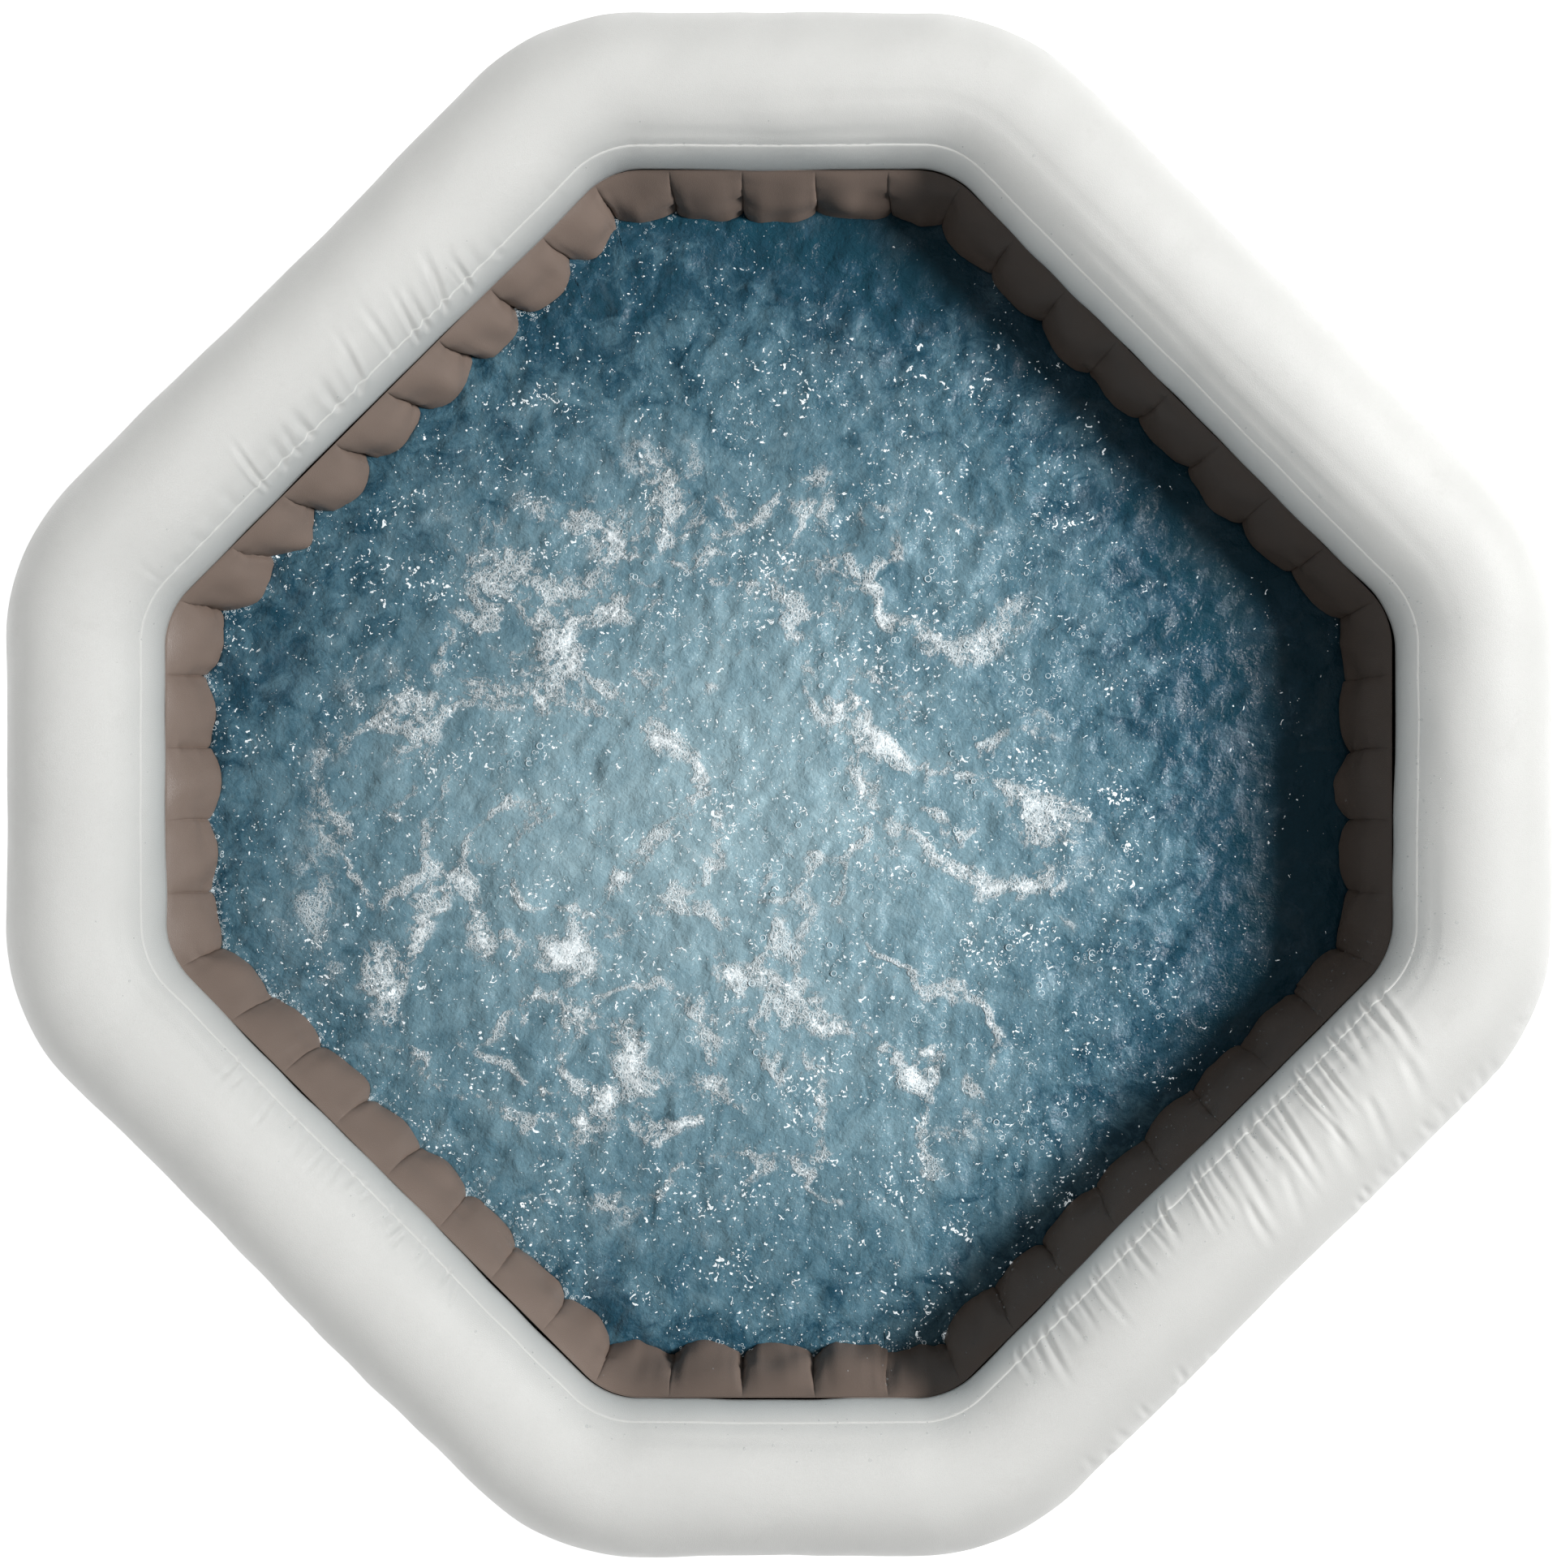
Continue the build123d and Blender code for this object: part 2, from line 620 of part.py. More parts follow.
def valve_pieces():
    """Inflation valve: welded base, screw-in insert, spring-loaded stem with its seal, and a hinged cap."""
    socket_bore = valve_socket_diameter - 2 * valve_socket_wall
    hinge_stand = valve_flange_thickness + hinge_barrel_diameter / 2 + spare
    ear_centre = hinge_barrel_length / 2 + air_gap + ear_thickness / 2
    with BuildPart() as base:
        tube(valve_place, valve_flange_diameter, 0, 0, valve_flange_thickness)
        tube(valve_place, valve_socket_diameter, 0, -valve_socket_depth, valve_flange_thickness)
        tube(
            valve_place,
            socket_bore,
            0,
            -valve_socket_depth,
            valve_flange_thickness,
            mode=Mode.SUBTRACT,
        )
        for side in (-1, 1):
            slab(
                valve_place,
                ear_thickness,
                hinge_barrel_diameter + 2,
                hinge_stand - valve_flange_thickness + hinge_barrel_diameter / 2,
                valve_flange_thickness,
                centre=(side * ear_centre, cap_hinge_height),
            )
        cross_bar(
            valve_place,
            hinge_pin_diameter + turning_clearance,
            2 * ear_centre + ear_thickness,
            cap_hinge_height,
            hinge_stand,
            mode=Mode.SUBTRACT,
        )
    save(base.part, "valve_base")

    seat_top = -valve_socket_depth + valve_seat_thickness
    with BuildPart() as insert:
        tube(valve_place, socket_bore, socket_bore - 6, -valve_socket_depth, valve_flange_thickness)
        tube(
            valve_place,
            valve_lip_diameter,
            socket_bore - 6,
            valve_flange_thickness,
            valve_lip_height,
        )
        tube(valve_place, socket_bore, valve_seat_bore, -valve_socket_depth, seat_top)
        with BuildSketch(valve_place.offset(seat_top)):
            Circle(valve_hub_diameter / 2)
            for turn in (0, 90):
                Rectangle(socket_bore - 5, valve_seat_thickness, rotation=turn + 45)
        extrude(amount=valve_hub_length)
        tube(
            valve_place,
            stem_diameter + 2 * turning_clearance,
            0,
            -valve_socket_depth,
            valve_lip_height,
            mode=Mode.SUBTRACT,
        )
    save(insert.part, "valve_insert")

    hub_top = seat_top + valve_hub_length
    button = hub_top + stem_travel + 4
    with BuildPart() as stem:
        tube(valve_place, stem_diameter, 0, -valve_socket_depth - air_gap - valve_seal_thickness, button)
        tube(valve_place, stem_button_diameter, 0, button, button + stem_button_thickness)
    save(stem.part, "valve_stem")

    with BuildPart() as seal:
        tube(
            valve_place,
            valve_seal_diameter,
            stem_diameter,
            -valve_socket_depth - air_gap - valve_seal_thickness,
            -valve_socket_depth - air_gap,
        )
    save(seal.part, "valve_seal")

    spring_length = button - hub_top - spring_wire - 2 * air_gap
    with BuildPart() as spring:
        foot = valve_place.offset(hub_top + spring_wire / 2 + air_gap)
        with BuildLine() as coil:
            Helix(
                spring_length / 3,
                spring_length,
                (spring_diameter - spring_wire) / 2,
                center=foot.origin,
                direction=foot.z_dir,
            )
        with BuildSketch(Plane(coil.line @ 0, z_dir=coil.line % 0)):
            Circle(spring_wire / 2)
        sweep(path=coil.line)
    save(spring.part, "valve_spring")

    cap_bore = valve_lip_diameter + 2 * turning_clearance + 2 * air_gap
    cap_diameter = cap_bore + 2 * cap_wall
    cap_end = valve_lip_height + spare + cap_wall
    cap_start = hinge_stand + air_gap
    arm_width = hinge_barrel_length - 2 * air_gap
    tab_reach = 2 * cap_wall
    with BuildPart() as cap:
        tube(valve_place, cap_diameter, 0, cap_start, cap_end)
        fillet(cap.faces().sort_by(SortBy.DISTANCE)[-1].outer_wire().edges(), cap_wall / 2)
        slab(
            valve_place,
            arm_width,
            cap_hinge_height - cap_bore / 2,
            cap_wall,
            cap_start,
            centre=(0, (cap_hinge_height + cap_bore / 2) / 2),
        )
        slab(
            valve_place,
            arm_width,
            2 * tab_reach,
            cap_wall / 2,
            cap_start,
            centre=(0, -cap_diameter / 2),
        )
        cross_bar(
            valve_place, hinge_barrel_diameter, hinge_barrel_length, cap_hinge_height, hinge_stand
        )
        cross_bar(
            valve_place,
            hinge_pin_diameter,
            2 * ear_centre + ear_thickness,
            cap_hinge_height,
            hinge_stand,
        )
        tube(valve_place, cap_bore, 0, cap_start, cap_end - cap_wall, mode=Mode.SUBTRACT)
    save(cap.part, "valve_cap")


def handle_pieces():
    """A welded patch with two ears on each long side, and the bail that swings in them."""
    ear_place = handle_span / 2 + handle_eye_width / 2 + spare + handle_ear_thickness / 2
    places = [wall_plane(side, 0, handle_height) for side in LONG_SIDES]
    with BuildPart() as patches:
        for place in places:
            slab(
                place,
                handle_patch_width,
                handle_patch_height,
                handle_patch_thickness,
                0,
                corner=handle_patch_height / 3,
            )
            for side in (-1, 1):
                slab(
                    place,
                    handle_ear_thickness,
                    2 * handle_pin_diameter,
                    handle_standoff + handle_pin_diameter - handle_patch_thickness,
                    handle_patch_thickness,
                    centre=(side * ear_place, 0),
                )
            cross_bar(
                place,
                handle_pin_diameter + 2 * turning_clearance,
                2 * ear_place + handle_ear_thickness,
                0,
                handle_standoff,
                mode=Mode.SUBTRACT,
            )
    save(patches.part, "handle_patches")

    pin_end = ear_place + handle_ear_thickness / 2 - spare
    leg = handle_span / 2
    for number, place in enumerate(places, 1):
        face = place.offset(handle_standoff)
        with BuildPart() as bail:
            with BuildLine(face) as path:
                FilletPolyline(
                    (-leg, 0),
                    (-leg, -handle_drop),
                    (leg, -handle_drop),
                    (leg, 0),
                    radius=handle_leg_diameter,
                )
            with BuildSketch(Plane(path.line @ 0, z_dir=path.line % 0)):
                Circle(handle_leg_diameter / 2)
            sweep(path=path.line)
            cross_bar(place, handle_grip_diameter, handle_grip_length, -handle_drop, handle_standoff)
            for start, end in ((-pin_end, -leg), (leg, pin_end)):
                bar(place, handle_pin_diameter, start, end, 0, handle_standoff)
            for middle in (-leg, leg):
                half = handle_eye_width / 2
                bar(place, handle_eye_diameter, middle - half, middle + half, 0, handle_standoff)
        save(bail.part, f"handle_bail_{number}")


def buckle_pieces():
    """A patch with a bar on each short side, and the webbing and socket that hang from it."""
    bar_height = wall_top - tape_width - buckle_drop
    places = [wall_plane(side, 0, bar_height) for side in SHORT_SIDES]
    ear_place = buckle_bar_length / 2 + ear_thickness / 2
    loop_diameter = buckle_bar_diameter + 2 * turning_clearance + 2 * webbing_thickness
    with BuildPart() as patches:
        for place in places:
            slab(
                place,
                buckle_patch_width,
                buckle_patch_height,
                buckle_patch_thickness,
                0,
                corner=buckle_patch_height / 5,
            )
            for side in (-1, 1):
                slab(
                    place,
                    ear_thickness,
                    2 * buckle_bar_diameter,
                    buckle_standoff + buckle_bar_diameter - buckle_patch_thickness,
                    buckle_patch_thickness,
                    centre=(side * ear_place, 0),
                )
            cross_bar(place, buckle_bar_diameter, buckle_bar_length + ear_thickness, 0, buckle_standoff)
    save(patches.part, "buckle_patches")

    for number, place in enumerate(places, 1):
        sheet = buckle_standoff - webbing_thickness / 2
        with BuildPart() as webbing:
            cross_bar(place, loop_diameter, webbing_width, 0, buckle_standoff)
            slab(
                place,
                webbing_width,
                webbing_length,
                webbing_thickness,
                sheet,
                centre=(0, -webbing_length / 2),
            )
            cross_bar(
                place,
                buckle_bar_diameter + 2 * turning_clearance,
                webbing_width,
                0,
                buckle_standoff,
                mode=Mode.SUBTRACT,
            )
        save(webbing.part, f"buckle_webbing_{number}")

        top = -webbing_length + 2 * socket_wall
        middle = buckle_standoff - socket_thickness / 2
        with BuildPart() as socket:
            slab(
                place,
                socket_width,
                socket_length,
                socket_thickness,
                middle,
                centre=(0, top - socket_length / 2),
                corner=socket_wall,
            )
            hollow = Plane(
                place.from_local_coords((0, top - socket_length, buckle_standoff)),
                x_dir=place.x_dir,
                z_dir=(0, 0, 1),
            )
            with BuildSketch(hollow):
                Rectangle(socket_width - 2 * socket_wall, socket_thickness - 2 * socket_wall)
            extrude(amount=socket_length - 3 * socket_wall, mode=Mode.SUBTRACT)
            with BuildSketch(hollow.offset(socket_length - 2 * socket_wall)):
                Rectangle(webbing_width, webbing_thickness)
            extrude(amount=2 * socket_wall, mode=Mode.SUBTRACT)
            with BuildSketch(place.offset(middle)):
                with Locations((0, top - socket_length * 0.55)):
                    for side in (-1, 1):
                        with Locations((side * socket_width / 2, top - socket_length * 0.55)):
                            RectangleRounded(4 * socket_wall, socket_length / 3, socket_wall)
            extrude(amount=socket_thickness, mode=Mode.SUBTRACT)
        save(socket.part, f"buckle_socket_{number}")


def main():
    os.makedirs("parts", exist_ok=True)
    shell_pieces()
    bubble_ring_pieces()
    water_port_pieces("outlet", outlet_place)
    water_port_pieces("inlet", inlet_place)
    drain_pieces()
    air_port_pieces()
    valve_pieces()
    handle_pieces()
    buckle_pieces()


main()
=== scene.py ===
"""Looks of the inflatable hot tub: skins, pleats, creases, water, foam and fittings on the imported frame."""

import json
from math import cos, pi, radians, sin, sqrt, tan

import bmesh
import bpy
import numpy as np
from bpy.props import FloatProperty, FloatVectorProperty, IntProperty, PointerProperty
from mathutils import Matrix, Vector

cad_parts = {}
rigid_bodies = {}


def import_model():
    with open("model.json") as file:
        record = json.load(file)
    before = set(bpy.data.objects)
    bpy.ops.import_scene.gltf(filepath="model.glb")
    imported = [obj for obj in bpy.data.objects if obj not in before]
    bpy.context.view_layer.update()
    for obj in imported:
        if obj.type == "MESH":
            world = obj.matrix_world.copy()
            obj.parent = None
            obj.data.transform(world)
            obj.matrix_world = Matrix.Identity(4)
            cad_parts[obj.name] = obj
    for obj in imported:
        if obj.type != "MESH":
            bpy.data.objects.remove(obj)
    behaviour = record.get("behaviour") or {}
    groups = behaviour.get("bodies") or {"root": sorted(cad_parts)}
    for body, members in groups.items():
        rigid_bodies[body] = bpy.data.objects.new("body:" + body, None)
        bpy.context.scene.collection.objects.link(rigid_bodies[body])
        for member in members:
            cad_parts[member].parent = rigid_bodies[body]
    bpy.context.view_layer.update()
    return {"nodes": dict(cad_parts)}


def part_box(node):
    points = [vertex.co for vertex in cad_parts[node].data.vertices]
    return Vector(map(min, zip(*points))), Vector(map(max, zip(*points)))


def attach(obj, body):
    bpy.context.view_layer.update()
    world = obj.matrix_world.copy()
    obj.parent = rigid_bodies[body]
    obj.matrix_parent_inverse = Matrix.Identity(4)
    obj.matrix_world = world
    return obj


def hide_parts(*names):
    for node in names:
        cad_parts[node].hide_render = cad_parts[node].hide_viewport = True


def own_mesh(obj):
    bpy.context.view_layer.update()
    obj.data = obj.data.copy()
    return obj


bl_info = {
    "name": "Inflatable Hot Tub",
    "version": (1, 0, 0),
    "blender": (4, 5, 0),
    "location": "View3D > Sidebar > Hot Tub",
    "description": "Skins, water and fittings of an octagonal inflatable hot tub",
    "category": "Object",
}

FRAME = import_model()
MM = 0.001
TURN = 2 * pi


def reach(node, angle):
    """How far a CAD node goes in a level direction, in metres."""
    way = Vector((cos(angle), sin(angle), 0))
    return max(v.co.dot(way) for v in FRAME["nodes"][node].data.vertices)


HALF = reach("top_rim", 0)  # to the outermost line of the rim, on a short side
DIAGONAL = reach("top_rim", pi / 4)  # and on a long side
SHORT_SIDE = 2 * (sqrt(2) * DIAGONAL - HALF)
LONG_SIDE = sqrt(2) * (HALF - SHORT_SIDE / 2)
RIM_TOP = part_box("top_rim")[1].z
FLOOR_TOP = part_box("floor_sheet")[1].z
WALL_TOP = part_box("outer_wall")[1].z
LINER_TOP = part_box("inner_wall")[1].z
PLEATS = 52
WATER_IOR = 1.333


class TubForm(bpy.types.PropertyGroup):
    """Sizes of the skins and the water."""

    corner_radius: FloatProperty(
        name="Corner radius",
        description="Radius of the rim's outermost line on each corner",
        default=0.300,
        unit="LENGTH",
    )
    rim_radius: FloatProperty(
        name="Rim radius",
        description="Half the thickness of the inflated rim",
        default=0.098,
        unit="LENGTH",
    )
    wall_inset: FloatProperty(
        name="Wall inset",
        description="How far the outer wall stands inside the rim's outermost line",
        default=0.022,
        unit="LENGTH",
    )
    crease_inset: FloatProperty(
        name="Crease inset",
        description="How far the liner's creases stand inside the rim's outermost line",
        default=0.204,
        unit="LENGTH",
    )
    pleat_bulge: FloatProperty(
        name="Pleat bulge",
        description="How far a pleat of the liner swells out between its creases",
        default=0.036,
        unit="LENGTH",
    )
    water_level: FloatProperty(
        name="Water level",
        description="Height of the water above the ground",
        default=0.498,
        unit="LENGTH",
    )
    wave_height: FloatProperty(
        name="Wave height",
        description="About how high the waves are that the bubbles throw up",
        default=0.0035,
        unit="LENGTH",
    )
    bubble_count: IntProperty(
        name="Bubbles",
        description="Number of separate bubbles that float on the water",
        default=1500,
        min=0,
    )
    droplet_count: IntProperty(
        name="Droplets",
        description="Number of drops splashed on the rim and the liner",
        default=520,
        min=0,
    )


class TubColours(bpy.types.PropertyGroup):
    """Colours of the laminated skins and the water, in linear light."""

    rim: FloatVectorProperty(
        name="Rim",
        description="Colour of the pale laminated sheet of the rim",
        subtype="COLOR",
        size=3,
        default=(0.79, 0.79, 0.765),
    )
    liner: FloatVectorProperty(
        name="Liner",
        description="Colour of the taupe laminated sheet of the liner",
        subtype="COLOR",
        size=3,
        default=(0.190, 0.142, 0.116),
    )
    wall: FloatVectorProperty(
        name="Outer wall",
        description="Colour of the taupe laminated sheet of the outer wall",
        subtype="COLOR",
        size=3,
        default=(0.25, 0.200, 0.168),
    )
    # Deep water is also the colour that paints the rim's shadow on the water towards +X +Y
    deep_water: FloatVectorProperty(
        name="Deep water",
        description="Colour of the water where no air is mixed into it",
        subtype="COLOR",
        size=3,
        default=(0.013, 0.064, 0.098),
    )
    aerated_water: FloatVectorProperty(
        name="Aerated water",
        description="Colour of the water where it is full of fine air bubbles",
        subtype="COLOR",
        size=3,
        default=(0.36, 0.52, 0.58),
    )


def form():
    return bpy.context.scene.tub_form


def colours():
    return bpy.context.scene.tub_colours


# Colours, nodes and materials


def linear(code):
    """A colour's linear values from its sRGB hex code."""
    parts = [int(code[i : i + 2], 16) / 255 for i in (1, 3, 5)]
    return tuple(c / 12.92 if c <= 0.04045 else ((c + 0.055) / 1.055) ** 2.4 for c in parts) + (1.0,)


def add(tree, kind, links=None, **settings):
    """Adds a node with its settings. links gives each input a number, a colour or another node's output."""
    made = tree.nodes.new(kind)
    for name, value in settings.items():
        setattr(made, name, value)
    for socket, value in (links or {}).items():
        if isinstance(value, bpy.types.NodeSocket):
            tree.links.new(value, made.inputs[socket])
        else:
            made.inputs[socket].default_value = value
    return made


def start_material(name, **shader):
    """A new material with its Principled shader's own sockets set. Returns material, tree and shader."""
    material = bpy.data.materials.new(name)
    material.use_nodes = True
    tree = material.node_tree
    principled = tree.nodes["Principled BSDF"]
    for socket, value in shader.items():
        principled.inputs[socket.replace("_", " ")].default_value = value
    return material, tree, principled


def feed(shader, socket, value):
    """Links another node's output to one of the shader's inputs."""
    shader.id_data.links.new(value, shader.inputs[socket])


def rgba(colour, gain=1.0):
    return tuple(gain * c for c in colour[:3]) + (1.0,)


def places(tree):
    """The points of the piece in metres, as every pattern here reads them."""
    return add(tree, "ShaderNodeTexCoord").outputs["Object"]


def noise(tree, where, size, detail=2.0, rough=0.5, warp=0.0):
    """Noise whose largest lumps are size metres across."""
    made = add(
        tree,
        "ShaderNodeTexNoise",
        {"Vector": where, "Scale": 1 / size, "Detail": detail, "Roughness": rough, "Distortion": warp},
    )
    return made.outputs["Fac"]


def remap(tree, value, low, high, to_low=0.0, to_high=1.0, smooth=False):
    made = add(
        tree,
        "ShaderNodeMapRange",
        {"Value": value, "From Min": low, "From Max": high, "To Min": to_low, "To Max": to_high},
        interpolation_type="SMOOTHSTEP" if smooth else "LINEAR",
    )
    return made.outputs["Result"]


def maths(tree, operation, a, b=0.0):
    return add(tree, "ShaderNodeMath", {0: a, 1: b}, operation=operation).outputs[0]


def vectors(tree, operation, a, b):
    return add(tree, "ShaderNodeVectorMath", {0: a, 1: b}, operation=operation).outputs[0]


def cell_distance(tree, where, size, feature, randomness=1.0):
    """Distance to the middle or the edge of cells that are size metres across."""
    links = {"Vector": where, "Scale": 1 / size, "Randomness": randomness}
    return add(tree, "ShaderNodeTexVoronoi", links, feature=feature).outputs["Distance"]


def blend_colours(tree, share, a, b, how="MIX"):
    made = add(tree, "ShaderNodeMix", {0: share, 6: a, 7: b}, data_type="RGBA", blend_type=how)
    return made.outputs[2]


def bump(tree, height, depth, strength=1.0, under=None):
    links = {"Height": height, "Distance": depth, "Strength": strength}
    if under is not None:
        links["Normal"] = under
    return add(tree, "ShaderNodeBump", links).outputs["Normal"]


def laminated_pvc(name, colour, rough, grain, mottling, dust="#8B8478"):
    """Embossed laminated PVC: the hide-like grain breaks up its broad soft sheen, and handling leaves it a
    little uneven in tone."""
    material, tree, shader = start_material(name, IOR=1.53, Specular_IOR_Level=0.42)
    where = places(tree)
    patches = noise(tree, where, 0.22, 4.0, 0.55)
    specks = noise(tree, where, 0.0024, 2.0, 0.6)
    dark = rgba(colour, 1 - mottling)
    light = rgba(colour, 1 + 0.4 * mottling)
    tone = blend_colours(tree, remap(tree, patches, 0.35, 0.65), dark, light)
    speckled = blend_colours(
        tree, remap(tree, specks, 0.56, 0.74, 0.0, 0.35), tone, rgba(colour, 1 - 2.2 * mottling)
    )
    grime = remap(tree, noise(tree, where, 0.09, 6.0, 0.7, 0.4), 0.60, 0.80, 0.0, 0.10)
    feed(shader, "Base Color", blend_colours(tree, grime, speckled, linear(dust)))
    cells = cell_distance(tree, where, 0.0021, "DISTANCE_TO_EDGE")
    hide = bump(tree, remap(tree, cells, 0.0, 0.28), grain)
    fine = bump(tree, noise(tree, where, 0.0009, 3.0, 0.65), 0.5 * grain, 1.0, hide)
    slack = bump(tree, noise(tree, where, 0.016, 3.0, 0.5), 3.2 * grain, 0.5, fine)
    feed(shader, "Normal", slack)
    wear = noise(tree, where, 0.05, 4.0)
    feed(shader, "Roughness", remap(tree, wear, 0.3, 0.7, rough - 0.06, rough + 0.08))
    return material


def moulded_plastic(name, code, rough, grain=0.00004, wear=0.25):
    """Injection-moulded plastic: a fine spark-eroded grain, flow marks in its sheen, paler rubbed edges."""
    material, tree, shader = start_material(name, IOR=1.50, Specular_IOR_Level=0.5)
    where = places(tree)
    base = linear(code)
    tone = blend_colours(
        tree, remap(tree, noise(tree, where, 0.03, 5.0), 0.35, 0.7), rgba(base, 0.9), rgba(base, 1.08)
    )
    edges = add(tree, "ShaderNodeNewGeometry").outputs["Pointiness"]
    rubbed = remap(tree, edges, 0.52, 0.60, 0.0, wear)
    pale = rgba(tuple(0.6 * c + 0.25 for c in base[:3]))
    feed(shader, "Base Color", blend_colours(tree, rubbed, tone, pale))
    grainy = bump(tree, noise(tree, where, 0.0006, 3.0, 0.7), grain)
    feed(shader, "Normal", grainy)
    flow = noise(tree, where, 0.012, 3.0, 0.6, 1.5)
    feed(shader, "Roughness", remap(tree, flow, 0.3, 0.7, rough - 0.05, rough + 0.08))
    return material


def soft_rubber(name, code):
    """Moulded rubber: matt, bloomed with a dusty grey film in patches."""
    material, tree, shader = start_material(name, IOR=1.52, Specular_IOR_Level=0.3)
    where = places(tree)
    bloom = remap(tree, noise(tree, where, 0.008, 6.0, 0.7), 0.45, 0.75, 0.0, 0.4)
    feed(shader, "Base Color", blend_colours(tree, bloom, linear(code), linear("#4A4845")))
    feed(shader, "Normal", bump(tree, noise(tree, where, 0.0008, 4.0), 0.00005))
    feed(shader, "Roughness", remap(tree, bloom, 0.0, 0.4, 0.6, 0.85))
    return material


def woven_webbing(name, code):
    """Woven polypropylene webbing: diagonal ribs of 1.6 mm, each a bundle of slightly shiny yarns."""
    material, tree, shader = start_material(name, IOR=1.49, Sheen_Weight=0.25, Sheen_Roughness=0.5)
    where = places(tree)
    ribs = add(
        tree,
        "ShaderNodeTexWave",
        {"Vector": where, "Scale": 1 / (0.0016 * 6.28), "Distortion": 0.6, "Detail": 1.0},
        wave_type="BANDS",
        bands_direction="DIAGONAL",
    ).outputs["Fac"]
    yarn = noise(tree, where, 0.0005, 2.0)
    # The grooves between the ribs are painted darker, as painted shade
    tone = blend_colours(tree, remap(tree, ribs, 0.1, 0.9), rgba(linear(code), 0.5), linear(code))
    feed(shader, "Base Color", tone)
    under = bump(tree, ribs, 0.0004)
    feed(shader, "Normal", bump(tree, yarn, 0.0001, 0.6, under))
    feed(shader, "Roughness", remap(tree, yarn, 0.3, 0.7, 0.55, 0.75))
    return material


def closed_cell_foam(name, code):
    """Closed-cell foam: dull, with open skinless cells of about 1 mm and a few larger pits."""
    material, tree, shader = start_material(name, IOR=1.45, Specular_IOR_Level=0.2)
    where = places(tree)
    cells = cell_distance(tree, where, 0.0011, "F1")
    # The open cells are painted darker towards their middles, as painted shade in the pits
    tone = blend_colours(
        tree, remap(tree, cells, 0.1, 0.6), rgba(linear(code), 0.75), rgba(linear(code), 1.05)
    )
    feed(shader, "Base Color", tone)
    feed(shader, "Normal", bump(tree, cells, 0.0003))
    feed(shader, "Roughness", remap(tree, noise(tree, where, 0.02), 0.3, 0.7, 0.8, 0.95))
    return material


def spring_steel(name):
    """Stainless spring wire: bright, with fine drawing lines that streak its highlight."""
    material, tree, shader = start_material(name, Metallic=1.0)
    where = places(tree)
    lines = noise(tree, where, 0.0004, 3.0, 0.6, 2.0)
    tone = blend_colours(tree, lines, linear("#8E9092"), linear("#C4C6C8"))
    feed(shader, "Base Color", tone)
    feed(shader, "Roughness", remap(tree, lines, 0.3, 0.7, 0.22, 0.38))
    feed(shader, "Normal", bump(tree, lines, 0.00002))
    return material


def clear_drop(name):
    """Splashed drops: nearly clear, seen by the highlight that each one gathers."""
    material, tree, shader = start_material(
        name, IOR=WATER_IOR, Roughness=0.04, Alpha=0.22, Specular_IOR_Level=0.9
    )
    share = noise(tree, places(tree), 0.01)
    feed(shader, "Base Color", blend_colours(tree, share, linear("#C9D2D4"), linear("#FFFFFF")))
    return material


def bubble_film(name):
    """Wet film where a bubble meets the water: a bright cool ring, with a painted glow: it gives off a little
    light of its own.
    """
    material, tree, shader = start_material(name, IOR=WATER_IOR, Roughness=0.12, Emission_Strength=0.12)
    share = noise(tree, places(tree), 0.02, 3.0)
    feed(shader, "Base Color", blend_colours(tree, share, linear("#B9D0D9"), linear("#F2F9FB")))
    feed(shader, "Emission Color", linear_tint(tree))
    return material


